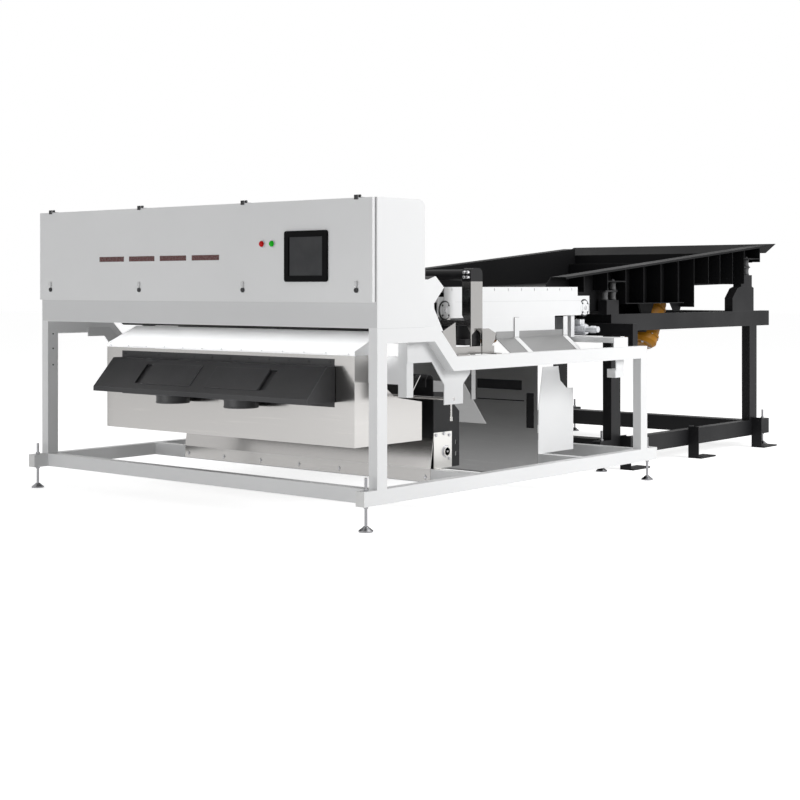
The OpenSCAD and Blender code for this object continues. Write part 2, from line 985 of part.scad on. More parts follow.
module stop_button() {
    color("red") push_button(button_x);
}

module start_button() {
    color("green") push_button(button_x + button_pitch);
}

// Head before the door, shaft through it, cam behind the opening's flange
module door_latch(i) {
    x = lock_xs[i];
    front = door_y - lock_fit;
    cam_y = sheet + lock_cam_gap;
    inward = x > 0 ? -1 : 1;
    color("black") at_centre() {
        difference() {
            rod_y(front - lock_head_t, front, x, lock_z, lock_r);
            translate([x - key_slot[0] / 2, front - lock_head_t - eps, lock_z - key_slot[1] / 2])
                cube([key_slot[0], key_slot[2] + eps, key_slot[1]]);
        }
        rod_y(front - eps, cam_y + lock_cam_t, x, lock_z, lock_shaft_r);
        block(min(x, x + inward * lock_cam_l), max(x, x + inward * lock_cam_l), cam_y,
            cam_y + lock_cam_t, lock_z - lock_cam_w / 2, lock_z + lock_cam_w / 2);
    }
}

module door_latch_1() {
    door_latch(0);
}

module door_latch_2() {
    door_latch(1);
}

module door_latch_3() {
    door_latch(2);
}

module door_latch_4() {
    door_latch(3);
}

function optics_points(shares) = [for (s = shares) optics_pt(s)];
function window_dir() = unit_of(optics_pt(optics_low_shares[0]) - optics_pt(optics_top_shares[3]));
function shelf_z() = optics_z + shelf_share * optics_h;
function camera_at(i) = (i - (camera_count - 1) / 2) * camera_pitch;
function camera_z() = shelf_z() + optics_t / 2 + camera_size[2] / 2;

module optics_end_plates() {
    color("white") at_centre() both_sides() along_x(optics_x - optics_plate_t, optics_plate_t)
        polygon(concat(optics_points(optics_top_shares), optics_points(optics_low_shares)));
}

// Bent sheet round the cameras and the ejector, open where the window sits
module optics_housing() {
    top = optics_points(optics_top_shares);
    low = optics_points(optics_low_shares);
    v = window_dir();
    half = optics_x - optics_plate_t;
    nozzle = (low[1] + low[2]) / 2;
    face = unit_of(low[2] - low[1]);
    color([0.08, 0.08, 0.08]) at_centre() difference() {
        along_x(-half, 2 * half) {
            sheet_path(concat(top, [top[3] + v * optics_lip]), optics_t);
            sheet_path(concat([low[0] - v * optics_lip], low), optics_t);
            sheet_path([[cab_d, shelf_z()], [cab_d + shelf_end_share * optics_d, shelf_z()]], optics_t);
        }
        along_x(-led_x, 2 * led_x) strip(nozzle - face * nozzle_slot / 2,
            nozzle + face * nozzle_slot / 2, 2 * optics_t);
    }
}

module camera_modules() {
    color([0.15, 0.15, 0.17]) at_centre() for (i = [0 : camera_count - 1]) {
        x = camera_at(i);
        y = cab_d + camera_gap;
        block(x - camera_size[0] / 2, x + camera_size[0] / 2, y, y + camera_size[1],
            shelf_z() + optics_t / 2, shelf_z() + optics_t / 2 + camera_size[2]);
        rod_y(y + camera_size[1], y + camera_size[1] + lens_l, x, camera_z(), lens_r);
        rod_y(cab_d, y, x, camera_z(), cable_hole_r / 2);
    }
}

module optics_glass() {
    v = window_dir();
    inward = -side_normal(v) * ((optics_t + window_t) / 2 + window_gap);
    start = optics_pt(optics_top_shares[3]) + v * optics_t + inward;
    stop = optics_pt(optics_low_shares[0]) - v * optics_t + inward;
    color([0.5, 0.6, 0.65, 0.5]) at_centre() along_x(optics_plate_t - optics_x,
        2 * (optics_x - optics_plate_t)) strip(start, stop, window_t);
}

module lamp_bars() {
    top_y = optics_pt(optics_top_shares[1])[0];
    top_z = optics_pt(optics_top_shares[1])[1] - optics_t / 2;
    shelf_top = shelf_z() + optics_t / 2;
    shelf_y = cab_d + shelf_end_share * optics_d;
    color("ivory") at_centre() {
        block(-led_x, led_x, top_y - led_w, top_y, top_z - led_h, top_z);
        block(-led_x, led_x, shelf_y - led_w / 2, shelf_y, shelf_top, shelf_top + led_h);
    }
}

module ejector_bar() {
    low = optics_points(optics_low_shares);
    face = unit_of(low[2] - low[1]);
    out = side_normal(face);
    mid = (low[1] + low[2]) / 2 - out * (optics_t + ejector_t) / 2;
    angle = atan2(face[1], face[0]);
    count = floor(2 * (led_x - nozzle_pitch / 2) / nozzle_pitch);
    color("silver") at_centre() {
        along_x(-led_x, 2 * led_x) translate(mid) rotate(angle)
            square([ejector_w, ejector_t], center = true);
        for (i = [0 : count])
            translate([(i - count / 2) * nozzle_pitch, mid[0], mid[1]])
                rotate([atan2(-out[0], out[1]), 0, 0])
                    cylinder(r = nozzle_r, h = ejector_t / 2 + nozzle_l);
        for (i = [-valve_half : valve_half])
            along_x(i * valve_pitch - valve_size[0] / 2, valve_size[0]) translate(mid) rotate(angle)
                translate([0, -(ejector_t + valve_size[2]) / 2])
                    square([valve_size[1], valve_size[2]], center = true);
    }
}

module lower_optics_box() {
    color([0.13, 0.13, 0.14]) at_centre() {
        block(low_box_x - col_x, col_x - low_box_x, low_box_y, low_box_y + low_box_d,
            low_box_z + low_tray_h, low_box_z + low_box_h);
        block(col_t + eps - col_x, col_x - col_t - eps, low_box_y - low_tray_t,
            low_box_y + low_box_d, low_box_z, low_box_z + low_tray_h);
        for (x = [-col_x + col_t, col_x - col_t - eps])
            block(x, x + eps, low_box_y + col_t, low_box_y + low_box_d, low_box_z,
                low_box_z + low_tray_h);
    }
}

function scaled(shares, start, size) = [for (s = shares) [start[0] + s[0] * size[0],
    start[1] + s[1] * size[1]]];

module column_flange() {
    polygon([[col_x - col_w, col_top - col_h + col_cut_h], [col_x - col_w, col_top],
        [col_x, col_top], [col_x, col_top - col_h]]);
}

module column_web() {
    mid = col_y + col_d / 2;
    difference() {
        translate([col_y, col_foot]) square([col_d, col_top - col_foot]);
        polygon([[mid - col_notch_w / 2, col_foot - eps], [mid + col_notch_w / 2, col_foot - eps],
            [mid + col_notch_w / 2, col_foot + col_notch_h], [mid, col_foot + col_notch_h + col_notch_tip],
            [mid - col_notch_w / 2, col_foot + col_notch_h]]);
    }
}

module conveyor_columns() {
    front_end = base_front_y + base_end_shares[0] * base_plate_d;
    rear_end = base_rear_y + base_end_shares[1] * base_plate_d;
    carrier_end = base_rear_y + base_end_shares[2] * base_plate_d;
    color("white") at_centre() {
        both_sides() {
            along_x(col_x - col_t, col_t) column_web();
            along_y(col_y, col_t) column_flange();
            along_y(col_y + col_d - col_t, col_t) column_flange();
            block(col_x, base_x - base_t, base_front_y, carrier_end, rear_top,
                rear_top + carrier_h);
            along_x(base_x - base_t, base_t) {
                polygon(scaled(base_plate_front_shares, [base_front_y, rear_top],
                    [base_plate_d, base_plate_h]));
                polygon(scaled(base_plate_rear_shares, [base_rear_y, rear_top],
                    [base_plate_d, base_plate_h]));
            }
            block(base_x, base_x + base_foot_w, base_front_y, front_end, rear_top, rear_top + base_t);
            block(base_x, base_x + base_foot_w, base_rear_y, rear_end, rear_top, rear_top + base_t);
            block(arm_x, arm_x + arm_t, tube_y, tube_y + tube_d, tube_z + tube_rise, arm_z);
        }
        block(col_t - col_x, col_x - col_t, tube_y, tube_y + tube_d, tube_z, tube_z + tube_rise);
    }
}

module lamp_beam() {
    mid = col_y + col_d / 2;
    color([0.05, 0.05, 0.05]) at_centre() {
        rod_x(col_w - col_x, col_x - col_w, mid, col_top + head_h / 2, light_r);
        both_sides() along_x(col_x - col_w, col_w) {
            translate([col_y, col_top]) square([col_d, head_h - head_r]);
            translate([col_y + head_r, col_top]) square([col_d - 2 * head_r, head_h]);
            for (y = [col_y + head_r, col_y + col_d - head_r])
                translate([y, col_top + head_h - head_r]) circle(r = head_r);
        }
    }
}

module gusset(x, shares) {
    difference() {
        along_x(x, gusset_t) polygon(scaled(shares, [gusset_y, gusset_z], [gusset_d, gusset_h]));
        rod_x(x - eps, x + gusset_t + eps, splitter_y, splitter_z, splitter_r + splitter_fit);
    }
}

module inner_hangers() {
    color("white") at_centre() {
        gusset(side_x - gusset_t, gusset_pts_shares);
        gusset(-side_x, gusset_left_shares);
        block(hanger_in, hanger_in + hanger_x, hanger_y, hanger_y + hanger_d, hanger_z, front_top);
        block(box_x, hanger_in, tie_y, tie_y + tie_t, tie_z, tie_z + tie_h);
    }
}

module separation_box() {
    h = box_top - box_z;
    color("lightgray") at_centre() {
        block(-box_x, box_x, box_y, box_y + box_t, box_z, box_top);
        block(-box_x, box_x, box_back - box_t, box_back, box_z, box_z + box_back_h);
        both_sides() along_x(box_x - box_t, box_t)
            polygon(scaled(box_side_shares, [box_y, box_z], [box_back - box_y, h]));
    }
}

module box_lid() {
    front = box_y + box_t / 2;
    color("lightgray") at_centre() {
        along_x(-box_x, 2 * box_x) sheet_path([[front, box_top], [front, box_top + lid_lip],
            [lid_y, lid_top], [lid_end, lid_top]], lid_t);
        both_sides() along_x(box_x - box_t, box_t) polygon([[front, box_top],
            [front, box_top + lid_lip], [lid_y, lid_top], [lid_end, lid_top],
            [lid_end, lid_top - lid_lip], [box_y + lid_side, box_top]]);
    }
}

function hood_low() = [box_y - hood_d, hood_z + hood_lip];
function hood_high() = [box_y - hood_top_d, hood_top];

module hood_section(inset) {
    y0 = box_y - hood_d + inset;
    u = unit_of(hood_high() - hood_low());
    n = side_normal(u);
    low = hood_low() - n * inset;
    high = hood_high() - n * inset;
    low_at = low + u * (y0 - low[0]) / u[0];
    high_at = high + u * (hood_top - inset - high[1]) / u[1];
    polygon([[y0, hood_z + inset], low_at, high_at, [box_y - hood_plate_t - inset, hood_top - inset],
        [box_y - hood_plate_t - inset, hood_z + inset]]);
}

module slope_strip(from_share, to_share, depth, t) {
    low = hood_low();
    run = hood_high() - low;
    n = side_normal(unit_of(run));
    strip(low + run * from_share + n * depth, low + run * to_share + n * depth, t);
}

module dust_hood() {
    pocket = groove_d + hood_t;
    color([0.04, 0.04, 0.04]) at_centre() {
        along_y(box_y - hood_plate_t, hood_plate_t) translate([-hood_plate_x, hood_plate_z])
            square([2 * hood_plate_x, hood_plate_h]);
        difference() {
            union() {
                difference() {
                    along_x(-hood_x, 2 * hood_x) hood_section(0);
                    along_x(hood_t - hood_x, 2 * (hood_x - hood_t)) hood_section(hood_t);
                }
                both_sides() along_x(hatch_x + hatch_w, groove_w + 2 * hood_t)
                    slope_strip(hatch_shares[0], hatch_shares[1], -pocket / 2, pocket);
            }
            both_sides() {
                along_x(hatch_x + hatch_w + hood_t, groove_w)
                    slope_strip(groove_shares[0], groove_shares[1], -groove_d / 2, groove_d);
                rod_z(hood_z - eps, hood_z + hood_t + eps, spigot_x, spigot_y, spigot_r - spigot_t);
            }
        }
        both_sides() {
            along_x(hatch_x, hatch_w) slope_strip(hatch_shares[0], hatch_shares[1], hatch_t / 2, hatch_t);
            difference() {
                rod_z(hood_z - spigot_l, hood_z, spigot_x, spigot_y, spigot_r);
                rod_z(hood_z - spigot_l - eps, hood_z + eps, spigot_x, spigot_y, spigot_r - spigot_t);
            }
        }
    }
}

module apron() {
    front = mid_rail_y - apron_t / 2;
    color("lightgray") at_centre() difference() {
        along_x(-box_x, 2 * box_x) sheet_path([[front, apron_low], [front, apron_fold],
            [apron_back, apron_top]], apron_t);
        for (i = [0 : slot_count - 1]) {
            x = (i - (slot_count - 1) / 2) * slot_pitch;
            for (z = [slot_z - slot_l / 2, slot_z + slot_l / 2])
                rod_y(front - apron_t, front + apron_t, x, z, slot_r);
            block(x - slot_r, x + slot_r, front - apron_t, front + apron_t, slot_z - slot_l / 2,
                slot_z + slot_l / 2);
        }
    }
}

module chute_wall() {
    half = box_x - plate_t;
    roll_y = wall_y - wall_roll_r;
    color([0.06, 0.06, 0.06]) at_centre() along_x(-half, 2 * half) {
        translate([wall_y - wall_t / 2, rail_top]) square([wall_t, wall_top - rail_top]);
        translate([roll_y - wall_roll_r - wall_t / 2, wall_top - wall_roll_r])
            square([wall_t, wall_roll_r]);
        difference() {
            translate([roll_y, wall_top]) circle(r = wall_roll_r + wall_t / 2);
            translate([roll_y, wall_top]) circle(r = wall_roll_r - wall_t / 2);
            translate([roll_y - 2 * wall_roll_r, wall_top - 2 * wall_roll_r])
                square([4 * wall_roll_r, 2 * wall_roll_r]);
        }
    }
}

module splitter_plate() {
    reach = side_x - splitter_gap;
    half = box_x - splitter_inset;
    at = [splitter_y, splitter_z];
    lever = side_x - gusset_t - lever_inset;
    color("silver") at_centre() {
        rod_x(-reach, reach, splitter_y, splitter_z, splitter_r);
        along_x(-half, 2 * half)
            strip(at, at + splitter_l * [sin(splitter_lean), cos(splitter_lean)], splitter_t);
        rod_z(splitter_z - lever_l, splitter_z, lever, splitter_y, lever_r);
        rod_z(splitter_z - lever_l - lever_grip, splitter_z - lever_l, lever, splitter_y,
            lever_ball_r);
    }
}

module bearing_brackets() {
    color("silver") at_centre() both_sides() {
        difference() {
            block(box_x, box_x + bearing_t, bearing_y, bearing_y + bearing_d, rail_top,
                rail_top + bearing_h);
            for (s = bearing_hole_shares)
                rod_x(box_x - eps, box_x + bearing_t + eps, bearing_y + s[0] * bearing_d,
                    rail_top + s[1] * bearing_h, bearing_hole_r);
        }
        block(box_x, box_x + bearing_foot, bearing_y, mid_rail_y + cross_d, rail_top,
            rail_top + bearing_t);
        rod_x(box_x + bearing_t, box_x + bearing_t + bearing_disc_t, bearing_disc_y, bearing_disc_z,
            bearing_disc_r);
    }
}

module chute_side_plates() {
    color([0.2, 0.2, 0.21]) at_centre() both_sides() difference() {
        along_x(box_x - plate_t, plate_t)
            polygon(scaled(chute_shares, [chute_y, rail_top], [chute_d, chute_h]));
        for (z = chute_slot_z) {
            for (up = [-chute_slot_l / 2, chute_slot_l / 2])
                rod_x(box_x - plate_t - eps, box_x + eps, chute_slot_y, z + up, chute_slot_r);
            block(box_x - plate_t - eps, box_x + eps, chute_slot_y - chute_slot_r,
                chute_slot_y + chute_slot_r, z - chute_slot_l / 2, z + chute_slot_l / 2);
        }
    }
}

module deflector_plate() {
    half = conv_x - strap_t;
    color("lightgray") at_centre() {
        along_x(-half, 2 * half) sheet_path([deflector_top - [deflector_bend, -deflector_bend / 2],
            deflector_top, deflector_end], deflector_t);
        both_sides() block(half, conv_x, strap_y, strap_y + strap_w, strap_z, lower_z);
    }
}

module rear_panel() {
    half = box_x - side_t;
    color("silver") at_centre() along_y(chute_rail_y - rear_t, rear_t) difference() {
        translate([-half, rear_low]) square([2 * half, rear_top_z - rear_low]);
        for (side = [0, 1]) mirror([side, 0]) {
            translate([rear_window_x, rear_window_z]) square(rear_window);
            translate([rear_window_x, rear_slot_z]) square(rear_slot);
            translate([rear_bar_x, rear_bar_z]) square(rear_bar);
        }
    }
}

module side_panels() {
    color("white") at_centre() both_sides() along_x(box_x - side_t, side_t)
        polygon(scaled(side_shares, [chute_rail_y, rail_top], [side_d, side_h]));
}

module side_skirts() {
    x = conv_x + skirt_t / 2;
    color("lightgray") at_centre() both_sides() {
        along_y(skirt_y, skirt_d) sheet_path([[x, skirt_top], [x, skirt_bend],
            [x + skirt_out, skirt_bend - skirt_drop]], skirt_t);
        for (share = skirt_strap_shares)
            block(conv_x + skirt_t, conv_x + skirt_t + skirt_strap_t, skirt_y + share * skirt_d,
                skirt_y + share * skirt_d + skirt_strap_w, skirt_bend + skirt_strap_t,
                lower_z - skirt_strap_t);
    }
}

module conveyor_covers() {
    tail = lower_y + lower_d;
    color("white") at_centre() both_sides() {
        along_x(conv_x - cover_t, cover_t) polygon([[lower_y, lower_z], [tail - lower_nose, lower_z],
            [tail, lower_z + lower_nose], [tail, cover_split - 2 * lower_nose],
            [tail - lower_nose, cover_split], [lower_y, cover_split]]);
        along_x(conv_x - 2 * cover_t, cover_t) difference() {
            translate([upper_y, cover_split - cover_lap]) square([upper_d, upper_h + cover_lap]);
            for (i = [0 : cover_slots - 1])
                translate([upper_y + (i + 0.5) * upper_d / cover_slots,
                    cover_split + upper_h - cover_slot_down])
                    square(cover_slot);
        }
    }
}

module conveyor_frame() {
    bed_top = roller_z + roller_r;
    tie_top = bed_top - bed_t;
    inner = conv_x - cover_t;
    color("gainsboro") at_centre() {
        block(-belt_x, belt_x, bed_y, bed_y + bed_d, bed_top - bed_t, bed_top);
        for (y = tie_ys)
            block(-inner, inner, y, y + tie_tube[0], tie_top - tie_tube[1], tie_top);
        both_sides() {
            block(leg_x, leg_x + leg_w, tie_ys[4], tie_ys[4] + tie_tube[0], rear_top + beam_h,
                tie_top - tie_tube[1]);
            block(inner, conv_x, under_y, under_y + under_d, under_z, lower_z);
        }
        block(-conv_x, conv_x, under_y, under_y + under_d, under_z, under_z + under_t);
        for (y = [under_y, under_y + under_d - under_t])
            block(-conv_x, conv_x, y, y + under_t, under_z, belt_low - under_gap);
    }
}

module head_roller() {
    reach = arm_x + arm_t + shaft_reach;
    color("silver") at_centre() {
        rod_x(-belt_x, belt_x, head_y, roller_z, roller_r);
        rod_x(-reach, reach, head_y, roller_z, shaft_r);
    }
}

module tail_roller() {
    reach = arm_x + arm_t + shaft_reach;
    color("silver") at_centre() {
        rod_x(-belt_x, belt_x, tail_y, roller_z, roller_r);
        rod_x(-reach, reach, tail_y, roller_z, shaft_r);
        rod_x(pulley_x, pulley_x + pulley_w, tail_y, roller_z, tail_pulley_r);
    }
}

// Arm plates with flanged bearings, at both ends of the conveyor
module roller_bearings() {
    color("gray") at_centre() both_sides() for (end = [[head_y, 1], [tail_y, -1]]) {
        y = end[0];
        y0 = end[1] > 0 ? y - arm_l : y - arm_back;
        difference() {
            union() {
                block(arm_x, arm_x + arm_t, y0, y0 + arm_l + arm_back, arm_z, arm_z + arm_h);
                rod_x(arm_x + arm_t, arm_x + arm_t + flange_t, y, roller_z, bearing_r);
            }
            rod_x(arm_x - eps, arm_x + arm_t + flange_t + eps, y, roller_z, shaft_r + shaft_fit);
        }
    }
}

// Belt loops stand off their rollers by the belt play
module belts() {
    drive = [drive_y, drive_z];
    tail = [tail_y, roller_z];
    color([0.3, 0.3, 0.3]) at_centre() {
        along_x(-belt_x, 2 * belt_x) difference() {
            belt_loop([head_y, roller_z], roller_r, tail, roller_r, belt_play + belt_t);
            belt_loop([head_y, roller_z], roller_r, tail, roller_r, belt_play);
        }
        along_x(pulley_x, pulley_w) difference() {
            belt_loop(drive, drive_r, tail, tail_pulley_r, belt_play + toothed_t);
            belt_loop(drive, drive_r, tail, tail_pulley_r, belt_play);
        }
    }
}

module gearmotor() {
    base = rear_top + beam_h;
    end = gear_x + gear_w;
    color([0.75, 0.76, 0.78]) at_centre() {
        difference() {
            block(gear_x, end, drive_y - gear_d / 2, drive_y + gear_d / 2, base, base + gear_h);
            rod_x(end - drive_bore_l, end + eps, drive_y, drive_z, drive_shaft_r + shaft_fit);
        }
        rod_x(end, end + motor_flange_l, drive_y, motor_axis_z, motor_flange_r);
        rod_x(end + motor_flange_l, end + motor_flange_l + motor_tail_l, drive_y, motor_axis_z,
            motor_tail_r);
    }
}

module motor_pulley() {
    end = gear_x + gear_w;
    color("silver") at_centre() {
        rod_x(end - drive_bore_l + shaft_gap, pulley_x + pulley_w, drive_y, drive_z, drive_shaft_r);
        rod_x(pulley_x, pulley_x + pulley_w, drive_y, drive_z, drive_r);
    }
}

module feeder_profile() {
    translate([fd_low_front, fd_low]) square([fd_end - fd_low_front, fd_tube_h]);
    translate([fd_y, fd_top - fd_tube_h]) square([fd_end - fd_y, fd_tube_h]);
    for (post = [fd_y, fd_rear_y])
        translate([post, fd_low]) square([fd_post_d, fd_top - fd_low]);
    translate([pedestal_front_y, fd_top]) square([pedestal_front_d, pedestal_front_h]);
    polygon(scaled(pedestal_shares, [pedestal_rear_y, fd_top], [pedestal_rear_d, pedestal_rear_h]));
}

module feeder_frame() {
    at_centre() difference() {
        along_x(fd_in, fd_tube) feeder_profile();
        for (y = fd_feet_y) rod_z(fd_low - eps, fd_low + fd_tube_h + eps, spring_x, y,
            stud_r + stud_fit);
        for (z = [fd_low, fd_top - fd_tube_h])
            block(fd_in + tube_wall, fd_x - tube_wall, fd_end - plug_d, fd_end + eps, z + tube_wall,
                z + fd_tube_h - tube_wall);
    }
}

module feeder_right_frame() {
    color([0.15, 0.15, 0.15]) feeder_frame();
}

module feeder_left_frame() {
    color([0.15, 0.15, 0.15]) mirror([1, 0, 0]) feeder_frame();
}

module feeder_cross_rails() {
    color([0.13, 0.13, 0.13]) at_centre() {
        for (y = [fd_y, fd_rear_y], z = [fd_low, fd_top - fd_tube_h])
            block(-fd_in, fd_in, y, y + fd_post_d, z, z + fd_tube_h);
        block(-fd_x - front_block[0], fd_x + front_block[0], fd_y - front_block[1], fd_y,
            front_block_z, front_block_z + front_block[2]);
        both_sides() block(fd_x + front_block[0] - front_leg[0], fd_x + front_block[0],
            fd_y - front_block[1], fd_y, front_block_z - front_leg[1], front_block_z);
    }
}

module anchor_brackets() {
    color([0.12, 0.12, 0.12]) at_centre() both_sides() for (y = anchor_ys) {
        difference() {
            block(fd_x, fd_x + anchor_wall, y, y + anchor_d, anchor_base_t, anchor_h);
            for (s = anchor_slot_shares)
                block(fd_x - eps, fd_x + anchor_wall + eps, y + s * anchor_d - anchor_slot[0] / 2,
                    y + s * anchor_d + anchor_slot[0] / 2, anchor_slot_z,
                    anchor_slot_z + anchor_slot[1]);
        }
        block(fd_x, fd_x + anchor_w, y, y + anchor_wall, anchor_base_t, anchor_h);
        difference() {
            block(fd_x, fd_x + anchor_base_w, y, y + anchor_base_d, 0, anchor_base_t);
            rod_z(-eps, anchor_base_t + eps, fd_x + anchor_base_w / 2,
                y + anchor_base_d - anchor_hole_in, anchor_hole_r);
        }
    }
}

module pan_web() {
    polygon([[pan_y, floor_z - pan_t], [girder_y0, floor_at(girder_y0) - pan_t],
        [girder_y0, girder_z], [girder_y1, girder_z], [hook_y - hook_w, hook_z], [hook_y, hook_z], [hook_end, hook_end_z],
        [shelf_start, shelf_start_z], [trough_end, shelf_start_z], [trough_end, lip_z],
        [pan_end, lip_z], [pan_end, rim_at(pan_end)], [pan_y + pan_nose, pan_front_z],
        [pan_y, pan_front_z - pan_drop]]);
}

module rib(y, low) {
    block(wall_x, pan_x, y, y + rib_t, low, rim_at(y) - pan_t);
}

// Slanted plate under the pan's floor that carries one vibration motor
module motor_mount() {
    a = [cos(motor_tilt), -sin(motor_tilt)];
    b = [sin(motor_tilt), cos(motor_tilt)];
    at = [motor_y, motor_z] - a * (motor_r + mount_gap + mount_t / 2);
    low = at - b * mount_low;
    high = at + b * mount_high;
    toe = [low[0] - mount_toe, floor_at(low[0] - mount_toe)];
    half = mount_w / 2;
    difference() {
        union() {
            along_x(motor_x - half, 2 * half) strip(low, high, mount_t);
            for (x = [motor_x - half, motor_x + half - mount_t])
                along_x(x, mount_t) polygon([low + b * mount_t, toe, high]);
        }
        along_x(motor_x - half - eps, 2 * (half + eps)) polygon([
            [low[0] - mount_high, floor_at(low[0] - mount_high) - pan_t / 2],
            [high[0] + mount_high, floor_at(high[0] + mount_high) - pan_t / 2],
            [high[0] + mount_high, high[1] + mount_high],
            [low[0] - mount_high, high[1] + mount_high]]);
    }
}

module feeder_pan() {
    end_floor = floor_at(trough_end);
    color([0.1, 0.1, 0.1]) at_centre() {
        both_sides() {
            along_x(wall_x - pan_t, pan_t) pan_web();
            along_x(wall_x, pan_x - wall_x) polygon([[pan_y + pan_nose, pan_front_z],
                [pan_end, rim_at(pan_end)], [pan_end, rim_at(pan_end) - pan_t],
                [pan_y + pan_nose, pan_front_z - pan_t]]);
            along_x(pan_x - pan_t, pan_t) polygon([[pan_y + pan_nose, pan_front_z - pan_t],
                [pan_end, rim_at(pan_end) - pan_t], [pan_end, rim_at(pan_end) - rim_lip],
                [pan_y + pan_nose, pan_front_z - rim_lip]]);
            for (y = nose_rib_ys) rib(y, floor_at(y));
            for (y = girder_rib_ys) rib(y, girder_z);
            rib(hook_rib_y, hook_z + rib_rise);
            for (y = rear_rib_ys) rib(y, rib_end_z);
            rib(trough_end - rib_t, lip_z);
            block(wall_x, pan_x, girder_y0, girder_y1, girder_z, girder_z + rib_t);
            block(wall_x, pan_x, nose_rib_ys[1], girder_y0 + rib_t, front_shelf_z,
                front_shelf_z + mount_gap);
            block(wall_x, pan_x, rear_rib_ys[3], trough_end, rear_shelf_z, rear_shelf_z + mount_gap);
            motor_mount();
        }
        along_x(pan_t - wall_x, 2 * (wall_x - pan_t)) {
            strip([pan_y, floor_z], [trough_end, end_floor], pan_t);
            sheet_path([[trough_end - pan_t / 2, end_floor], [trough_end - pan_t / 2, lip_z],
                [pan_end - pan_t / 2, lip_z], [pan_end - pan_t / 2, lip_z + lip_h]], pan_t);
        }
        along_x(-pan_x, 2 * pan_x) sheet_path([[pan_end - pan_t / 2, lip_z + lip_h - pan_t],
            [pan_end - pan_t / 2, lip_z + lip_h], [pan_back, lip_top]], pan_t);
    }
}

module spring_stack(y, z) {
    for (i = [0, 1]) {
        rod_z(z, z + spring_h, spring_x, y + i * spring_pitch, spring_r);
        rod_z(z + spring_h + spring_gap, z + spring_stack, spring_x, y + i * spring_pitch, spring_r);
    }
    block(spring_x - spring_r, spring_x + spring_r, y - spring_plate_over,
        y + spring_pitch + spring_plate_over, z + spring_h, z + spring_h + spring_gap);
}

module front_springs() {
    color([0.25, 0.25, 0.25]) at_centre() both_sides()
        spring_stack(spring_front_y, front_shelf_z - spring_stack);
}

module rear_springs() {
    color([0.25, 0.25, 0.25]) at_centre() both_sides()
        spring_stack(spring_rear_y, rear_shelf_z - spring_stack);
}

// Works in a vibration motor's own frame, with its shaft along Z
module at_motor() {
    at_centre() translate([motor_x, motor_y, motor_z]) rotate([-motor_tilt, 0, 0]) children();
}

module drum(r, half, edge) {
    rotate_extrude() polygon([[0, -half], [r - edge, -half], [r, edge - half], [r, half - edge],
        [r - edge, half], [0, half]]);
}

module vibration_motors() {
    color("orange") both_sides() at_motor() difference() {
        union() {
            drum(motor_r, motor_half, motor_edge);
            block(-foot_w / 2, foot_w / 2, -motor_r - mount_gap, foot_start - motor_r,
                -foot_half, foot_half);
        }
        drum(motor_r - motor_wall, motor_half - motor_wall, motor_edge - motor_wall / 2);
        for (side = [-1, 1])
            translate([0, 0, side * (motor_half - motor_wall / 2 - bearing_skin)])
                cylinder(r = rotor_shaft_r + rotor_fit, h = motor_wall, center = true);
    }
}

// Shaft, core and two eccentric weights
module rotor() {
    reach = motor_half - bearing_skin - shaft_gap;
    at_motor() {
        cylinder(r = rotor_shaft_r, h = 2 * reach, center = true);
        cylinder(r = rotor_core_r, h = 2 * rotor_core_half, center = true);
        for (side = [0, 1]) mirror([0, 0, side])
            translate([0, 0, rotor_core_half + rotor_gap]) difference() {
                cylinder(r = weight_r, h = weight_t);
                translate([-weight_r - eps, -weight_r - eps, -eps])
                    cube([2 * (weight_r + eps), weight_r + eps, weight_t + 2 * eps]);
            }
    }
}

module right_rotor() {
    color("dimgray") rotor();
}

module left_rotor() {
    color("dimgray") mirror([1, 0, 0]) rotor();
}

right_side_frame();
left_side_frame();
cross_rails();
rail_end_caps();
levelling_feet();
cabinet_shell();
cabinet_sill();
door_seal();
electronics_panel();
hinge_leaves();
cabinet_door();
screen_terminal();
screen_panel();
display_strips();
stop_button();
start_button();
door_latch_1();
door_latch_2();
door_latch_3();
door_latch_4();
optics_end_plates();
optics_housing();
camera_modules();
optics_glass();
lamp_bars();
ejector_bar();
lower_optics_box();
conveyor_columns();
lamp_beam();
inner_hangers();
separation_box();
box_lid();
dust_hood();
apron();
chute_wall();
splitter_plate();
bearing_brackets();
chute_side_plates();
deflector_plate();
rear_panel();
side_panels();
side_skirts();
conveyor_covers();
conveyor_frame();
belts();
head_roller();
tail_roller();
roller_bearings();
gearmotor();
motor_pulley();
feeder_right_frame();
feeder_left_frame();
feeder_cross_rails();
anchor_brackets();
feeder_pan();
front_springs();
rear_springs();
vibration_motors();
left_rotor();
right_rotor();
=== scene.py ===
# Belt type optical sorter with a free-standing vibrating feeder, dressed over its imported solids
import bpy
import bmesh
import math
from mathutils import Matrix, Vector


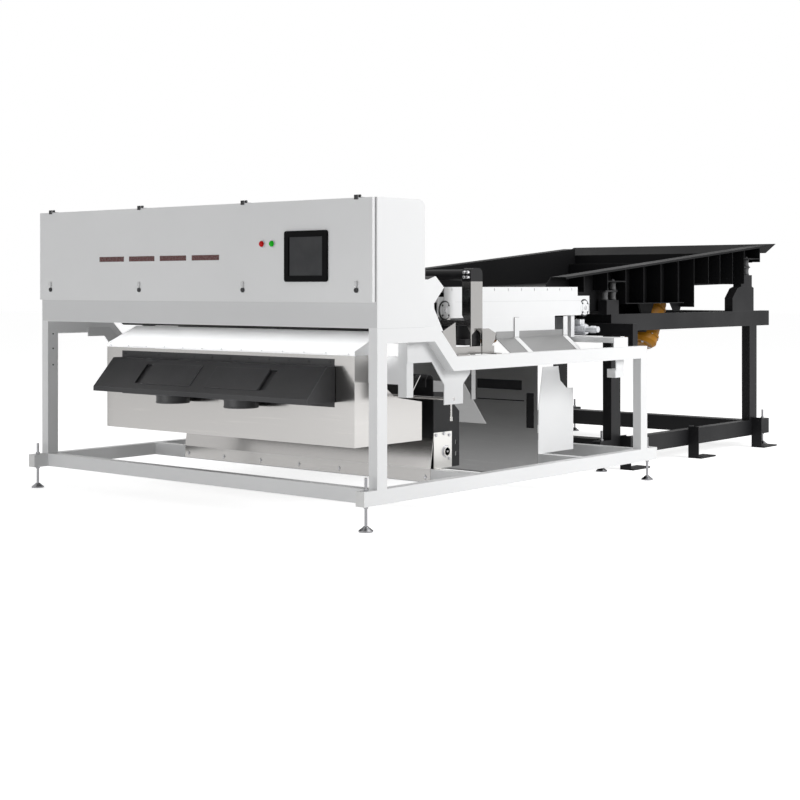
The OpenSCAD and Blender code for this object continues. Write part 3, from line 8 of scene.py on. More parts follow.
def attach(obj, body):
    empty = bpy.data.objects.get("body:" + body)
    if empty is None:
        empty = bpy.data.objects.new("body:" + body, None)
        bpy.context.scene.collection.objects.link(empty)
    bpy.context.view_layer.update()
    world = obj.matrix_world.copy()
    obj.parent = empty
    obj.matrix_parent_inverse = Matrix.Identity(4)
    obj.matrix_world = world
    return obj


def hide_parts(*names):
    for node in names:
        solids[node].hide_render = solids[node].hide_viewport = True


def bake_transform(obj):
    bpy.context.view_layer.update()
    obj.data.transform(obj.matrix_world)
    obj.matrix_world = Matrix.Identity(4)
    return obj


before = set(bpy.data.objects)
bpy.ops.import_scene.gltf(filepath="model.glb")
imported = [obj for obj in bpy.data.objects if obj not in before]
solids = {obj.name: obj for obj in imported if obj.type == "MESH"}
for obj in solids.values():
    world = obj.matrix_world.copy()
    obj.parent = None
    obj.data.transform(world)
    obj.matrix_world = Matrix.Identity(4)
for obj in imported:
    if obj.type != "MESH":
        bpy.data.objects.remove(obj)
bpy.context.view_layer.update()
scene = bpy.context.scene
print("stage: frame loaded,", len(solids), "solids")


# --- nodes, and the effects that several finishes share

def addNode(tree, kind, settings=None, values=None):
    node = tree.nodes.new(kind)
    for key, value in (settings or {}).items():
        setattr(node, key, value)
    for key, value in (values or {}).items():
        node.inputs[key].default_value = value
    return node


def feed(tree, value, socket):
    # another node's output is linked, a number or a colour is set
    if isinstance(value, bpy.types.NodeSocket):
        tree.links.new(value, socket)
    else:
        socket.default_value = (*value, 1.0) if isinstance(value, tuple) else value


def mathNode(tree, operation, *values, clamp=False):
    node = addNode(tree, "ShaderNodeMath", {"operation": operation, "use_clamp": clamp})
    for value, socket in zip(values, node.inputs):
        feed(tree, value, socket)
    return node.outputs[0]


def noiseNode(tree, vector, scale, detail=3.0, roughness=0.5):
    node = addNode(tree, "ShaderNodeTexNoise", values={"Detail": detail, "Roughness": roughness})
    feed(tree, vector, node.inputs["Vector"])
    feed(tree, scale, node.inputs["Scale"])
    return node.outputs["Fac"]


def newGroup(name, inputs, outputs):
    # an effect takes a Vector and its own named values, and puts out plain values
    group = bpy.data.node_groups.new(name, "ShaderNodeTree")
    for label, value in {"Vector": (0.0, 0.0, 0.0), **inputs}.items():
        kind = "NodeSocketVector" if isinstance(value, tuple) else "NodeSocketFloat"
        socket = group.interface.new_socket(name=label, in_out="INPUT", socket_type=kind)
        socket.default_value = value
    for label in outputs:
        group.interface.new_socket(name=label, in_out="OUTPUT", socket_type="NodeSocketFloat")
    given, out = group.nodes.new("NodeGroupInput"), group.nodes.new("NodeGroupOutput")
    return group, given.outputs, out.inputs


def makePaintSkin():
    # fine orange peel and the slow drift in tone of a sprayed coat
    group, given, out = newGroup("paintSkin", {"Peel Scale": 260.0, "Drift Scale": 1.4},
                                 ("Height", "Drift"))
    peel = noiseNode(group, given["Vector"], given["Peel Scale"], detail=2.0)
    drift = noiseNode(group, given["Vector"], given["Drift Scale"], detail=4.0)
    feed(group, peel, out["Height"])
    feed(group, drift, out["Drift"])
    return group


def makeBrushLines():
    # long thin scratches: the noise is squeezed across the stroke and stretched along it
    group, given, out = newGroup("brushLines", {"Stretch": (1.0, 1.0, 1.0), "Scale": 30.0},
                                 ("Height", "Streak"))
    stretched = addNode(group, "ShaderNodeVectorMath", {"operation": "MULTIPLY"})
    feed(group, given["Vector"], stretched.inputs[0])
    feed(group, given["Stretch"], stretched.inputs[1])
    fine = noiseNode(group, stretched.outputs[0], given["Scale"], detail=6.0, roughness=0.65)
    broad = noiseNode(group, stretched.outputs[0], 3.0, detail=2.0)
    feed(group, fine, out["Height"])
    feed(group, mathNode(group, "MULTIPLY_ADD", fine, 0.6, broad), out["Streak"])
    return group


def makeEdgeWearAndGlint():
    # where two faces meet: the rounded normal leaves the flat one, and the mask gives the edges a
    # lighter colour, part edge wear and part painted highlight
    group, given, out = newGroup("edgeWearAndGlint", {"Radius": 0.003, "Gain": 5.0}, ("Mask",))
    rounded = addNode(group, "ShaderNodeBevel", {"samples": 4})
    feed(group, given["Radius"], rounded.inputs["Radius"])
    flat = addNode(group, "ShaderNodeNewGeometry")
    dot = addNode(group, "ShaderNodeVectorMath", {"operation": "DOT_PRODUCT"})
    feed(group, rounded.outputs[0], dot.inputs[0])
    feed(group, flat.outputs["Normal"], dot.inputs[1])
    turned = mathNode(group, "SUBTRACT", 1.0, dot.outputs["Value"])
    gained = mathNode(group, "MULTIPLY", turned, given["Gain"], clamp=True)
    broken = noiseNode(group, given["Vector"], 40.0)
    feed(group, mathNode(group, "MULTIPLY", gained, broken, clamp=True), out["Mask"])
    return group


def makeSettledDust():
    # fine dust that lies on faces that look up, in soft patches
    group, given, out = newGroup("settledDust", {"Patch Scale": 5.0, "Amount": 0.3}, ("Mask",))
    flat = addNode(group, "ShaderNodeNewGeometry")
    split = addNode(group, "ShaderNodeSeparateXYZ")
    feed(group, flat.outputs["Normal"], split.inputs[0])
    upward = mathNode(group, "MULTIPLY", split.outputs["Z"], 1.0, clamp=True)
    patch = noiseNode(group, given["Vector"], given["Patch Scale"], detail=6.0, roughness=0.6)
    laid = mathNode(group, "MULTIPLY", upward, patch)
    feed(group, mathNode(group, "MULTIPLY", laid, given["Amount"], clamp=True), out["Mask"])
    return group


def makePebbleGrain():
    # pebbled surface of moulded plastic, cast iron and rubber
    group, given, out = newGroup("pebbleGrain", {"Scale": 400.0}, ("Height", "Speck"))
    cells = addNode(group, "ShaderNodeTexVoronoi")
    feed(group, given["Vector"], cells.inputs["Vector"])
    feed(group, given["Scale"], cells.inputs["Scale"])
    speck = noiseNode(group, given["Vector"], 30.0, detail=8.0, roughness=0.7)
    feed(group, cells.outputs["Distance"], out["Height"])
    feed(group, speck, out["Speck"])
    return group


paintSkin = makePaintSkin()
brushLines = makeBrushLines()
edgeWearAndGlint = makeEdgeWearAndGlint()
settledDust = makeSettledDust()
pebbleGrain = makePebbleGrain()
print("stage: shader groups built")


# --- materials

def startMaterial(name):
    material = bpy.data.materials.new(name)
    material.use_nodes = True
    tree = material.node_tree
    place = addNode(tree, "ShaderNodeTexCoord").outputs["Object"]
    return material, tree, tree.nodes["Principled BSDF"], place


def useGroup(tree, group, vector, values):
    node = addNode(tree, "ShaderNodeGroup", {"node_tree": group}, values)
    feed(tree, vector, node.inputs["Vector"])
    return node.outputs


def mixColour(tree, share, first, second):
    node = addNode(tree, "ShaderNodeMix", {"data_type": "RGBA"})
    feed(tree, share, node.inputs["Factor"])
    for label, value in (("A", first), ("B", second)):
        feed(tree, value, next(s for s in node.inputs if s.name == label and s.type == "RGBA"))
    return next(s for s in node.outputs if s.type == "RGBA")


def spread(tree, value, low=0.0, high=1.0):
    # noise mostly lies between 0.3 and 0.7
    node = addNode(tree, "ShaderNodeMapRange",
                   values={"From Min": 0.3, "From Max": 0.7, "To Min": low, "To Max": high})
    feed(tree, value, node.inputs["Value"])
    return node.outputs["Result"]


def coverSurface(tree, shader, colour, marks, look):
    # the marks make the gloss vary
    feed(tree, colour, shader.inputs["Base Color"])
    feed(tree, spread(tree, marks, *look["roughness"]), shader.inputs["Roughness"])
    shader.inputs["Specular IOR Level"].default_value = look["specular"]
    shader.inputs["Metallic"].default_value = look["metallic"]


def addBump(tree, shader, height, strength, distance):
    bump = addNode(tree, "ShaderNodeBump", values={"Strength": strength, "Distance": distance})
    feed(tree, height, bump.inputs["Height"])
    feed(tree, bump.outputs["Normal"], shader.inputs["Normal"])


def sprayedPaint(name, look):
    material, tree, shader, place = startMaterial(name)
    skin = useGroup(tree, paintSkin, place,
                    {"Peel Scale": look["peel"], "Drift Scale": look["drift"]})
    wearAndGlint = useGroup(tree, edgeWearAndGlint, place, {"Radius": look["wearAndGlintRadius"], "Gain": look["wearAndGlintGain"]})
    dust = useGroup(tree, settledDust, place, {"Patch Scale": 5.0, "Amount": look["dust"]})
    coat = mixColour(tree, spread(tree, skin["Drift"]), look["colour"], look["shade"])
    # edges take the lighter edge colour: part edge wear, part painted highlight
    worn = mixColour(tree, wearAndGlint["Mask"], coat, look["edge"])
    dusted = mixColour(tree, dust["Mask"], worn, look["dirt"])
    coverSurface(tree, shader, dusted, skin["Drift"], look)
    addBump(tree, shader, skin["Height"], strength=0.12, distance=0.0006)
    return material


def brushedMetal(name, look):
    material, tree, shader, place = startMaterial(name)
    lines = useGroup(tree, brushLines, place, {"Stretch": look["stretch"], "Scale": look["scale"]})
    wearAndGlint = useGroup(tree, edgeWearAndGlint, place, {"Radius": 0.002, "Gain": 4.0})
    body = mixColour(tree, spread(tree, lines["Streak"]), look["colour"], look["shade"])
    # edges take the lighter edge colour: part edge wear, part painted highlight
    worn = mixColour(tree, wearAndGlint["Mask"], body, look["edge"])
    coverSurface(tree, shader, worn, lines["Streak"], look)
    addBump(tree, shader, lines["Height"], look["bump"], distance=0.0004)
    return material


def mouldedSkin(name, look):
    material, tree, shader, place = startMaterial(name)
    grain = useGroup(tree, pebbleGrain, place, {"Scale": look["grain"]})
    dust = useGroup(tree, settledDust, place, {"Patch Scale": 9.0, "Amount": look["dust"]})
    body = mixColour(tree, spread(tree, grain["Speck"]), look["colour"], look["shade"])
    dusted = mixColour(tree, dust["Mask"], body, look["dirt"])
    coverSurface(tree, shader, dusted, grain["Speck"], look)
    addBump(tree, shader, grain["Height"], look["bump"], distance=0.0005)
    return material


def smoothGlass(name, look):
    # a faint drift in tone, with finger marks in the gloss
    material, tree, shader, place = startMaterial(name)
    skin = useGroup(tree, paintSkin, place,
                    {"Peel Scale": look["peel"], "Drift Scale": look["drift"]})
    tone = mixColour(tree, spread(tree, skin["Drift"]), look["colour"], look["shade"])
    coverSurface(tree, shader, tone, skin[look["marks"]], look)
    shader.inputs["Transmission Weight"].default_value = look["clear"]
    shader.inputs["IOR"].default_value = look["ior"]
    return material


def ridgedBelt(name, look):
    # calendered fabric print: two sets of fine ridges over a grey cover
    material, tree, shader, place = startMaterial(name)
    grain = useGroup(tree, pebbleGrain, place, {"Scale": look["grain"]})
    split = addNode(tree, "ShaderNodeSeparateXYZ")
    feed(tree, place, split.inputs[0])
    waves = [mathNode(tree, "SINE", mathNode(tree, "MULTIPLY", split.outputs[axis], look["ridges"]))
             for axis in "XY"]
    worn = mixColour(tree, spread(tree, grain["Speck"]), look["colour"], look["shade"])
    coverSurface(tree, shader, worn, grain["Speck"], look)
    addBump(tree, shader, mathNode(tree, "MULTIPLY", *waves), look["bump"], distance=0.0004)
    return material


def diodeWindow(name, look):
    # smoked red window over rows of unlit diodes
    material, tree, shader, place = startMaterial(name)
    cells = addNode(tree, "ShaderNodeTexVoronoi",
                    values={"Scale": look["diodes"], "Randomness": 0.0})
    feed(tree, place, cells.inputs["Vector"])
    dot = addNode(tree, "ShaderNodeMapRange",
                  values={"From Min": look["dotEdge"][0], "From Max": look["dotEdge"][1]})
    feed(tree, cells.outputs["Distance"], dot.inputs["Value"])
    skin = useGroup(tree, paintSkin, place, {"Peel Scale": look["peel"]})
    body = mixColour(tree, dot.outputs["Result"], look["colour"], look["dot"])
    coverSurface(tree, shader, body, skin["Height"], look)
    shader.inputs["Coat Weight"].default_value = look["coat"]
    return material


# edge colours lighter than the coat are part edge wear and part painted highlight on the edges
paintLooks = {
    "whitePaint": {
        "colour": (0.8, 0.805, 0.81), "shade": (0.76, 0.765, 0.77), "edge": (0.9, 0.9, 0.9),
        "dirt": (0.62, 0.6, 0.56), "dust": 0.1, "peel": 260.0, "drift": 1.1, "wearAndGlintRadius": 0.003,
        "wearAndGlintGain": 3.0, "roughness": (0.34, 0.46)},
    # a grey for grey parts; on the sill it is painted shade of the white shell
    "greyPaint": {
        "colour": (0.68, 0.685, 0.69), "shade": (0.65, 0.655, 0.66), "edge": (0.8, 0.8, 0.8),
        "dirt": (0.6, 0.58, 0.55), "dust": 0.1, "peel": 260.0, "drift": 1.1, "wearAndGlintRadius": 0.003,
        "wearAndGlintGain": 3.0, "roughness": (0.4, 0.52)},
    "blackPaint": {
        "colour": (0.008, 0.008, 0.009), "shade": (0.005, 0.005, 0.006),
        "edge": (0.06, 0.06, 0.064), "dirt": (0.12, 0.11, 0.1), "dust": 0.06, "peel": 320.0,
        "drift": 2.0, "roughness": (0.46, 0.62), "specular": 0.22},
    "panPaint": {
        "colour": (0.005, 0.005, 0.0055), "shade": (0.0035, 0.0035, 0.004),
        "edge": (0.045, 0.045, 0.048), "dirt": (0.05, 0.047, 0.044), "dust": 0.04, "peel": 320.0,
        "drift": 1.6, "wearAndGlintRadius": 0.003, "wearAndGlintGain": 5.0, "roughness": (0.5, 0.66),
        "specular": 0.11},
    "hoodPaint": {
        "colour": (0.022, 0.022, 0.024), "shade": (0.015, 0.015, 0.017), "edge": (0.14, 0.14, 0.15),
        "dirt": (0.14, 0.13, 0.12), "dust": 0.1, "peel": 320.0, "drift": 2.5, "wearAndGlintRadius": 0.006,
        "roughness": (0.4, 0.55), "specular": 0.4},
    "orangePaint": {
        "colour": (0.38, 0.165, 0.007), "shade": (0.29, 0.12, 0.005), "edge": (0.46, 0.26, 0.04),
        "dirt": (0.28, 0.15, 0.04), "dust": 0.04, "peel": 300.0, "drift": 5.0,
        "roughness": (0.38, 0.5), "specular": 0.15},
}
# edge colours lighter than the metal are part edge wear and part painted highlight on the edges
metalLooks = {
    "stainless": {
        "colour": (0.74, 0.725, 0.7), "shade": (0.66, 0.65, 0.63), "edge": (0.86, 0.85, 0.84),
        "stretch": (1.0, 1.0, 24.0), "scale": 14.0, "roughness": (0.22, 0.34), "metallic": 1.0,
        "bump": 0.06},
    "boxSteel": {
        "colour": (0.5, 0.485, 0.47), "shade": (0.45, 0.44, 0.43), "edge": (0.7, 0.69, 0.68),
        "stretch": (1.0, 1.0, 24.0), "scale": 14.0, "roughness": (0.1, 0.17), "metallic": 1.0,
        "bump": 0.04},
    "footChrome": {
        "colour": (0.34, 0.34, 0.35), "shade": (0.26, 0.26, 0.27), "edge": (0.7, 0.7, 0.7),
        "scale": 30.0, "roughness": (0.12, 0.22), "metallic": 1.0, "bump": 0.03},
    "darkSteel": {
        "colour": (0.38, 0.38, 0.38), "shade": (0.32, 0.32, 0.32), "edge": (0.55, 0.55, 0.55),
        "stretch": (1.0, 1.0, 24.0), "scale": 18.0, "roughness": (0.24, 0.36), "metallic": 0.9,
        "bump": 0.06},
    "zincSteel": {
        "colour": (0.66, 0.66, 0.67), "shade": (0.5, 0.5, 0.52), "edge": (0.86, 0.86, 0.86),
        "scale": 45.0, "roughness": (0.26, 0.42), "metallic": 1.0, "bump": 0.05},
    "rollerSteel": {
        "colour": (0.6, 0.6, 0.61), "shade": (0.46, 0.46, 0.47), "edge": (0.85, 0.85, 0.85),
        "stretch": (30.0, 1.0, 1.0), "scale": 12.0, "roughness": (0.2, 0.36), "metallic": 1.0,
        "bump": 0.08},
    "blackSteel": {
        "colour": (0.04, 0.04, 0.042), "shade": (0.025, 0.025, 0.027), "edge": (0.25, 0.25, 0.25),
        "scale": 60.0, "roughness": (0.35, 0.5), "metallic": 0.6, "bump": 0.05},
    "barAluminium": {
        "colour": (0.72, 0.73, 0.75), "shade": (0.62, 0.63, 0.65), "edge": (0.88, 0.88, 0.88),
        "stretch": (1.0, 14.0, 14.0), "scale": 12.0, "roughness": (0.3, 0.42), "metallic": 0.9,
        "bump": 0.06},
    "cameraMetal": {
        "colour": (0.06, 0.06, 0.068), "shade": (0.045, 0.045, 0.05), "edge": (0.3, 0.3, 0.32),
        "scale": 90.0, "roughness": (0.35, 0.45), "metallic": 0.8, "bump": 0.03},
}
mouldedLooks = {
    "rotorIron": {
        "colour": (0.18, 0.17, 0.165), "shade": (0.12, 0.1, 0.085), "dirt": (0.2, 0.15, 0.1),
        "dust": 0.2, "grain": 260.0, "roughness": (0.4, 0.65), "metallic": 0.8, "bump": 0.25},
    "whitePlastic": {
        "colour": (0.78, 0.78, 0.775), "shade": (0.72, 0.72, 0.715), "dirt": (0.6, 0.58, 0.54),
        "dust": 0.1, "grain": 500.0, "roughness": (0.45, 0.58), "bump": 0.1},
    "blackPlastic": {
        "colour": (0.004, 0.004, 0.005), "shade": (0.003, 0.003, 0.003), "dirt": (0.1, 0.1, 0.1),
        "dust": 0.04, "grain": 520.0, "roughness": (0.42, 0.55), "bump": 0.1, "specular": 0.04},
    "stopRed": {
        "colour": (0.62, 0.002, 0.003), "shade": (0.54, 0.002, 0.003), "dirt": (0.5, 0.05, 0.05),
        "dust": 0.03, "grain": 700.0, "roughness": (0.3, 0.4), "bump": 0.04, "specular": 0.15},
    "startGreen": {
        "colour": (0.003, 0.52, 0.008), "shade": (0.003, 0.46, 0.007), "dirt": (0.05, 0.35, 0.06),
        "dust": 0.03, "grain": 700.0, "roughness": (0.3, 0.4), "bump": 0.04, "specular": 0.15},
    "lampPlastic": {
        "colour": (0.85, 0.86, 0.84), "shade": (0.8, 0.81, 0.79), "dirt": (0.6, 0.6, 0.58),
        "dust": 0.05, "grain": 600.0, "roughness": (0.3, 0.4), "bump": 0.05},
    "sealRubber": {
        "colour": (0.02, 0.02, 0.021), "shade": (0.014, 0.014, 0.015), "dirt": (0.1, 0.1, 0.095),
        "dust": 0.2, "grain": 420.0, "roughness": (0.65, 0.8), "bump": 0.15, "specular": 0.3},
    "springRubber": {
        "colour": (0.09, 0.09, 0.092), "shade": (0.06, 0.06, 0.062), "dirt": (0.2, 0.19, 0.18),
        "dust": 0.2, "grain": 380.0, "roughness": (0.55, 0.7), "bump": 0.15, "specular": 0.35},
}
glassLooks = {
    "screenGlass": {
        "colour": (0.03, 0.031, 0.034), "shade": (0.038, 0.039, 0.042), "peel": 30.0, "drift": 9.0,
        "marks": "Drift", "roughness": (0.18, 0.26), "specular": 0.2},
    "windowGlass": {
        "colour": (0.86, 0.92, 0.93), "shade": (0.8, 0.88, 0.9), "peel": 18.0, "drift": 4.0,
        "marks": "Height", "roughness": (0.02, 0.08), "clear": 0.9, "ior": 1.46},
}
beltLooks = {
    "beltRubber": {
        "colour": (0.16, 0.165, 0.17), "shade": (0.11, 0.113, 0.118), "ridges": 900.0,
        "grain": 300.0, "roughness": (0.55, 0.72), "specular": 0.35, "bump": 0.1},
}
displayLooks = {
    "redPlastic": {
        "colour": (0.075, 0.008, 0.007), "dot": (0.2, 0.022, 0.016), "diodes": 140.0,
        "dotEdge": (0.3, 0.24), "peel": 60.0, "roughness": (0.2, 0.34), "coat": 0.15},
}
# what holds where a look says nothing else
plainLook = {"metallic": 0.0, "specular": 0.5, "wearAndGlintRadius": 0.005, "wearAndGlintGain": 4.0,
             "stretch": (1.0, 1.0, 1.0), "clear": 0.0, "ior": 1.5}
finishes = {}
for makeFinish, looks in ((sprayedPaint, paintLooks), (brushedMetal, metalLooks),
                          (mouldedSkin, mouldedLooks), (smoothGlass, glassLooks),
                          (ridgedBelt, beltLooks), (diodeWindow, displayLooks)):
    for name, look in looks.items():
        finishes[name] = makeFinish(name, {**plainLook, **look})
print("stage:", len(finishes), "finishes made")

# finish of each solid that comes from the frame
solidFinish = {
    "whitePaint": ["right_side_frame", "left_side_frame", "cross_rails", "cabinet_shell",
                   "cabinet_door", "optics_end_plates", "side_panels", "conveyor_covers",
                   "conveyor_frame", "box_lid", "roller_bearings"],
    # the sill's grey, darker than the white shell, is painted shade on the fascia under the door
    "greyPaint": ["cabinet_sill", "inner_hangers"],
    "whitePlastic": ["rail_end_caps"],
    "zincSteel": ["electronics_panel"],
    "footChrome": ["levelling_feet"],
    "sealRubber": ["door_seal"],
    "blackSteel": ["hinge_leaves", "door_latch_1", "door_latch_2", "door_latch_3", "door_latch_4"],
    "blackPlastic": ["screen_terminal"],
    "screenGlass": ["screen_panel"],
    "redPlastic": ["display_strips"],
    "stopRed": ["stop_button"],
    "startGreen": ["start_button"],
    "blackPaint": ["optics_housing", "lower_optics_box", "lamp_beam", "chute_wall",
                   "chute_side_plates", "feeder_right_frame", "feeder_left_frame",
                   "feeder_cross_rails", "anchor_brackets"],
    "panPaint": ["feeder_pan"],
    "hoodPaint": ["dust_hood"],
    "cameraMetal": ["camera_modules"],
    "windowGlass": ["optics_glass"],
    "lampPlastic": ["lamp_bars"],
    "barAluminium": ["ejector_bar", "gearmotor"],
    "stainless": ["bearing_brackets"],
    "boxSteel": ["separation_box", "apron", "splitter_plate", "conveyor_columns"],
    "darkSteel": ["deflector_plate", "rear_panel", "side_skirts"],
    "beltRubber": ["belts"],
    "rollerSteel": ["head_roller", "tail_roller", "motor_pulley"],
    "springRubber": ["front_springs", "rear_springs"],
    "orangePaint": ["vibration_motors"],
    "rotorIron": ["left_rotor", "right_rotor"],
}
for finish, names in solidFinish.items():
    for name in names:
        for slot in solids[name].material_slots:
            slot.material = finishes[finish]
print("stage:", sum(map(len, solidFinish.values())), "solids dressed")


# --- tools for the pieces; places are in the drawing's millimetres, from the frame's front face

machineMid = 2703.3985  # from the front face to the middle of the footprint
headTurn = 0.7  # radians from where one screw's head stops to the next


def spot(x, y, z):
    return Vector((x, y - machineMid, z)) / 1000


def span(middle, half):
    return middle - half, middle + half


def inward(limits, by):
    return limits[0] + by, limits[1] - by


def placeAt(x, y, z, direction, twist=0.0):
    turn = Vector((0, 0, 1)).rotation_difference(Vector(direction)).to_matrix().to_4x4()
    return Matrix.Translation(spot(x, y, z)) @ turn @ Matrix.Rotation(twist, 4, "Z")


def finishPiece(name, bm, finish, body, smooth=False, soften=0.0):
    bmesh.ops.remove_doubles(bm, verts=bm.verts[:], dist=1e-6)
    bmesh.ops.recalc_face_normals(bm, faces=bm.faces[:])
    for face in bm.faces:
        face.smooth = smooth
    mesh = bpy.data.meshes.new(name)
    bm.to_mesh(mesh)
    bm.free()
    obj = bpy.data.objects.new(name, mesh)
    scene.collection.objects.link(obj)
    mesh.materials.append(finishes[finish])
    if soften:
        edge = obj.modifiers.new("softEdges", "BEVEL")
        edge.width = soften / 1000
        edge.segments = 2
        edge.limit_method = "ANGLE"
        edge.angle_limit = math.radians(40)
    if body:
        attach(obj, body)
    return obj


def edgesOf(verts):
    return list(dict.fromkeys(edge for vert in verts for edge in vert.link_edges))


def roundEdges(bm, edges, offset, segments=2):
    bmesh.ops.bevel(bm, geom=edges, offset=offset, affect="EDGES", segments=segments,
                    profile=0.5, material=-1)


def addCube(bm, place, size, soft=0.0):
    cube = bmesh.ops.create_cube(bm, size=1.0, matrix=place @ Matrix.Diagonal((*size, 1.0)))
    if soft:
        roundEdges(bm, edgesOf(cube["verts"]), soft / 1000)


def addBlock(bm, x, y, z, soft=0.0):
    # x, y and z each hold the block's two limits
    low, high = (spot(*corner) for corner in zip(x, y, z))
    addCube(bm, Matrix.Translation((low + high) / 2), high - low, soft)


def addPair(bm, x, y, z, soft=0.0):
    # the same block on the right and on the left
    for side in (-1, 1):
        addBlock(bm, sorted(side * limit for limit in x), y, z, soft)


def addFacing(bm, middle, wide, tall):
    # a flat rectangle that looks to the front
    upright = Matrix.Translation(spot(*middle)) @ Matrix.Rotation(math.radians(90), 4, "X")
    matrix = upright @ Matrix.Diagonal((wide / 1000, tall / 1000, 1.0, 1.0))
    return bmesh.ops.create_grid(bm, x_segments=1, y_segments=1, size=0.5, matrix=matrix)["verts"]


def raiseFacing(bm, height):
    # the flat faces get this height towards the front, and keep their back
    raised = bmesh.ops.extrude_face_region(bm, geom=bm.faces[:], use_keep_orig=True)["geom"]
    bmesh.ops.translate(bm, verts=[g for g in raised if isinstance(g, bmesh.types.BMVert)],
                        vec=(0, -height / 1000, 0))


def spinShape(bm, profile, place, steps=32):
    verts = [bm.verts.new(place @ (Vector((r, 0, z)) / 1000)) for r, z in profile]
    edges = [bm.edges.new(pair) for pair in zip(verts, verts[1:])]
    bmesh.ops.spin(bm, geom=verts + edges, cent=place.translation,
                   axis=place.to_3x3() @ Vector((0, 0, 1)), angle=2 * math.pi, steps=steps,
                   use_merge=True)


def addDrum(bm, place, low, depth, radii, sides):
    middle = place @ Matrix.Translation((0, 0, low + depth / 2))
    return bmesh.ops.create_cone(bm, cap_ends=True, segments=sides, radius1=radii[0],
                                 radius2=radii[1], depth=depth, matrix=middle)["verts"]


def addHexBolt(bm, place, size):
    # washer, then a head with its top corners turned off, as shares of the bolt's size
    share = {"washer": 1.1, "washerTall": 0.16, "head": 0.92, "headTall": 0.6, "corner": 0.1}
    size = size / 1000
    washer, head, tall = size * share["washer"], size * share["head"], size * share["washerTall"]
    addDrum(bm, place, 0, tall, (washer, washer), 20)
    verts = addDrum(bm, place, tall, size * share["headTall"], (head, head), 6)
    inverse = place.inverted()
    top = [v for v in verts if (inverse @ v.co).z > tall + size * share["headTall"] / 2]
    roundEdges(bm, [e for e in edgesOf(top) if e.verts[0] in top and e.verts[1] in top],
               size * share["corner"], segments=1)


def addSocketScrew(bm, place, size):
    share = {"foot": 0.9, "top": 0.78, "tall": 0.5, "rim": 0.36, "socket": 0.3}
    size = size / 1000
    verts = addDrum(bm, place, 0, size * share["tall"],
                    (size * share["foot"], size * share["top"]), 16)
    inverse = place.inverted()
    faces = list(dict.fromkeys(f for v in verts for f in v.link_faces))
    top = max(faces, key=lambda f: (inverse @ f.calc_center_median()).z)
    bmesh.ops.inset_region(bm, faces=[top], thickness=size * share["rim"])
    bmesh.ops.translate(bm, verts=list(top.verts),
                        vec=place.to_3x3() @ Vector((0, 0, -size * share["socket"])))


def addBoltRing(bm, place, ring):
    # bolts evenly round the place's own axis
    for turn in range(ring["count"]):
        angle = 2 * math.pi * (turn + 0.5) / ring["count"]
        seat = Vector((ring["radius"] * math.cos(angle), ring["radius"] * math.sin(angle),
                       ring["seat"])) / 1000
        addHexBolt(bm, place @ Matrix.Translation(seat), ring["size"])


def screwRow(name, places, direction, size, finish, body, addHead=addSocketScrew):
    bm = bmesh.new()
    for count, place in enumerate(places):
        addHead(bm, placeAt(*place, direction, headTurn * count), size)
    finishPiece(name, bm, finish, body)


def beltPoint(pulleys, angle, grow):
    # the pulley that reaches furthest this way carries the belt
    way = Vector((math.cos(angle), math.sin(angle)))
    centre, radius = max(pulleys, key=lambda p: p[0].dot(way) + p[1])
    return centre + way * (radius + grow)


def addBeltRing(bm, pulleys, x, play, thick, steps):
    loops = []
    for at, grow in ((x[0], play), (x[1], play), (x[1], play + thick), (x[0], play + thick)):
        ring = bmesh.ops.create_circle(bm, cap_ends=False, segments=steps, radius=1.0)["verts"]
        for index, vert in enumerate(ring):
            vert.co = spot(at, *beltPoint(pulleys, 2 * math.pi * index / steps, grow))
        loops.append(edgesOf(ring))
    for first, second in zip(loops, loops[1:] + loops[:1]):
        bmesh.ops.bridge_loops(bm, edges=first + second)


# --- door and cabinet

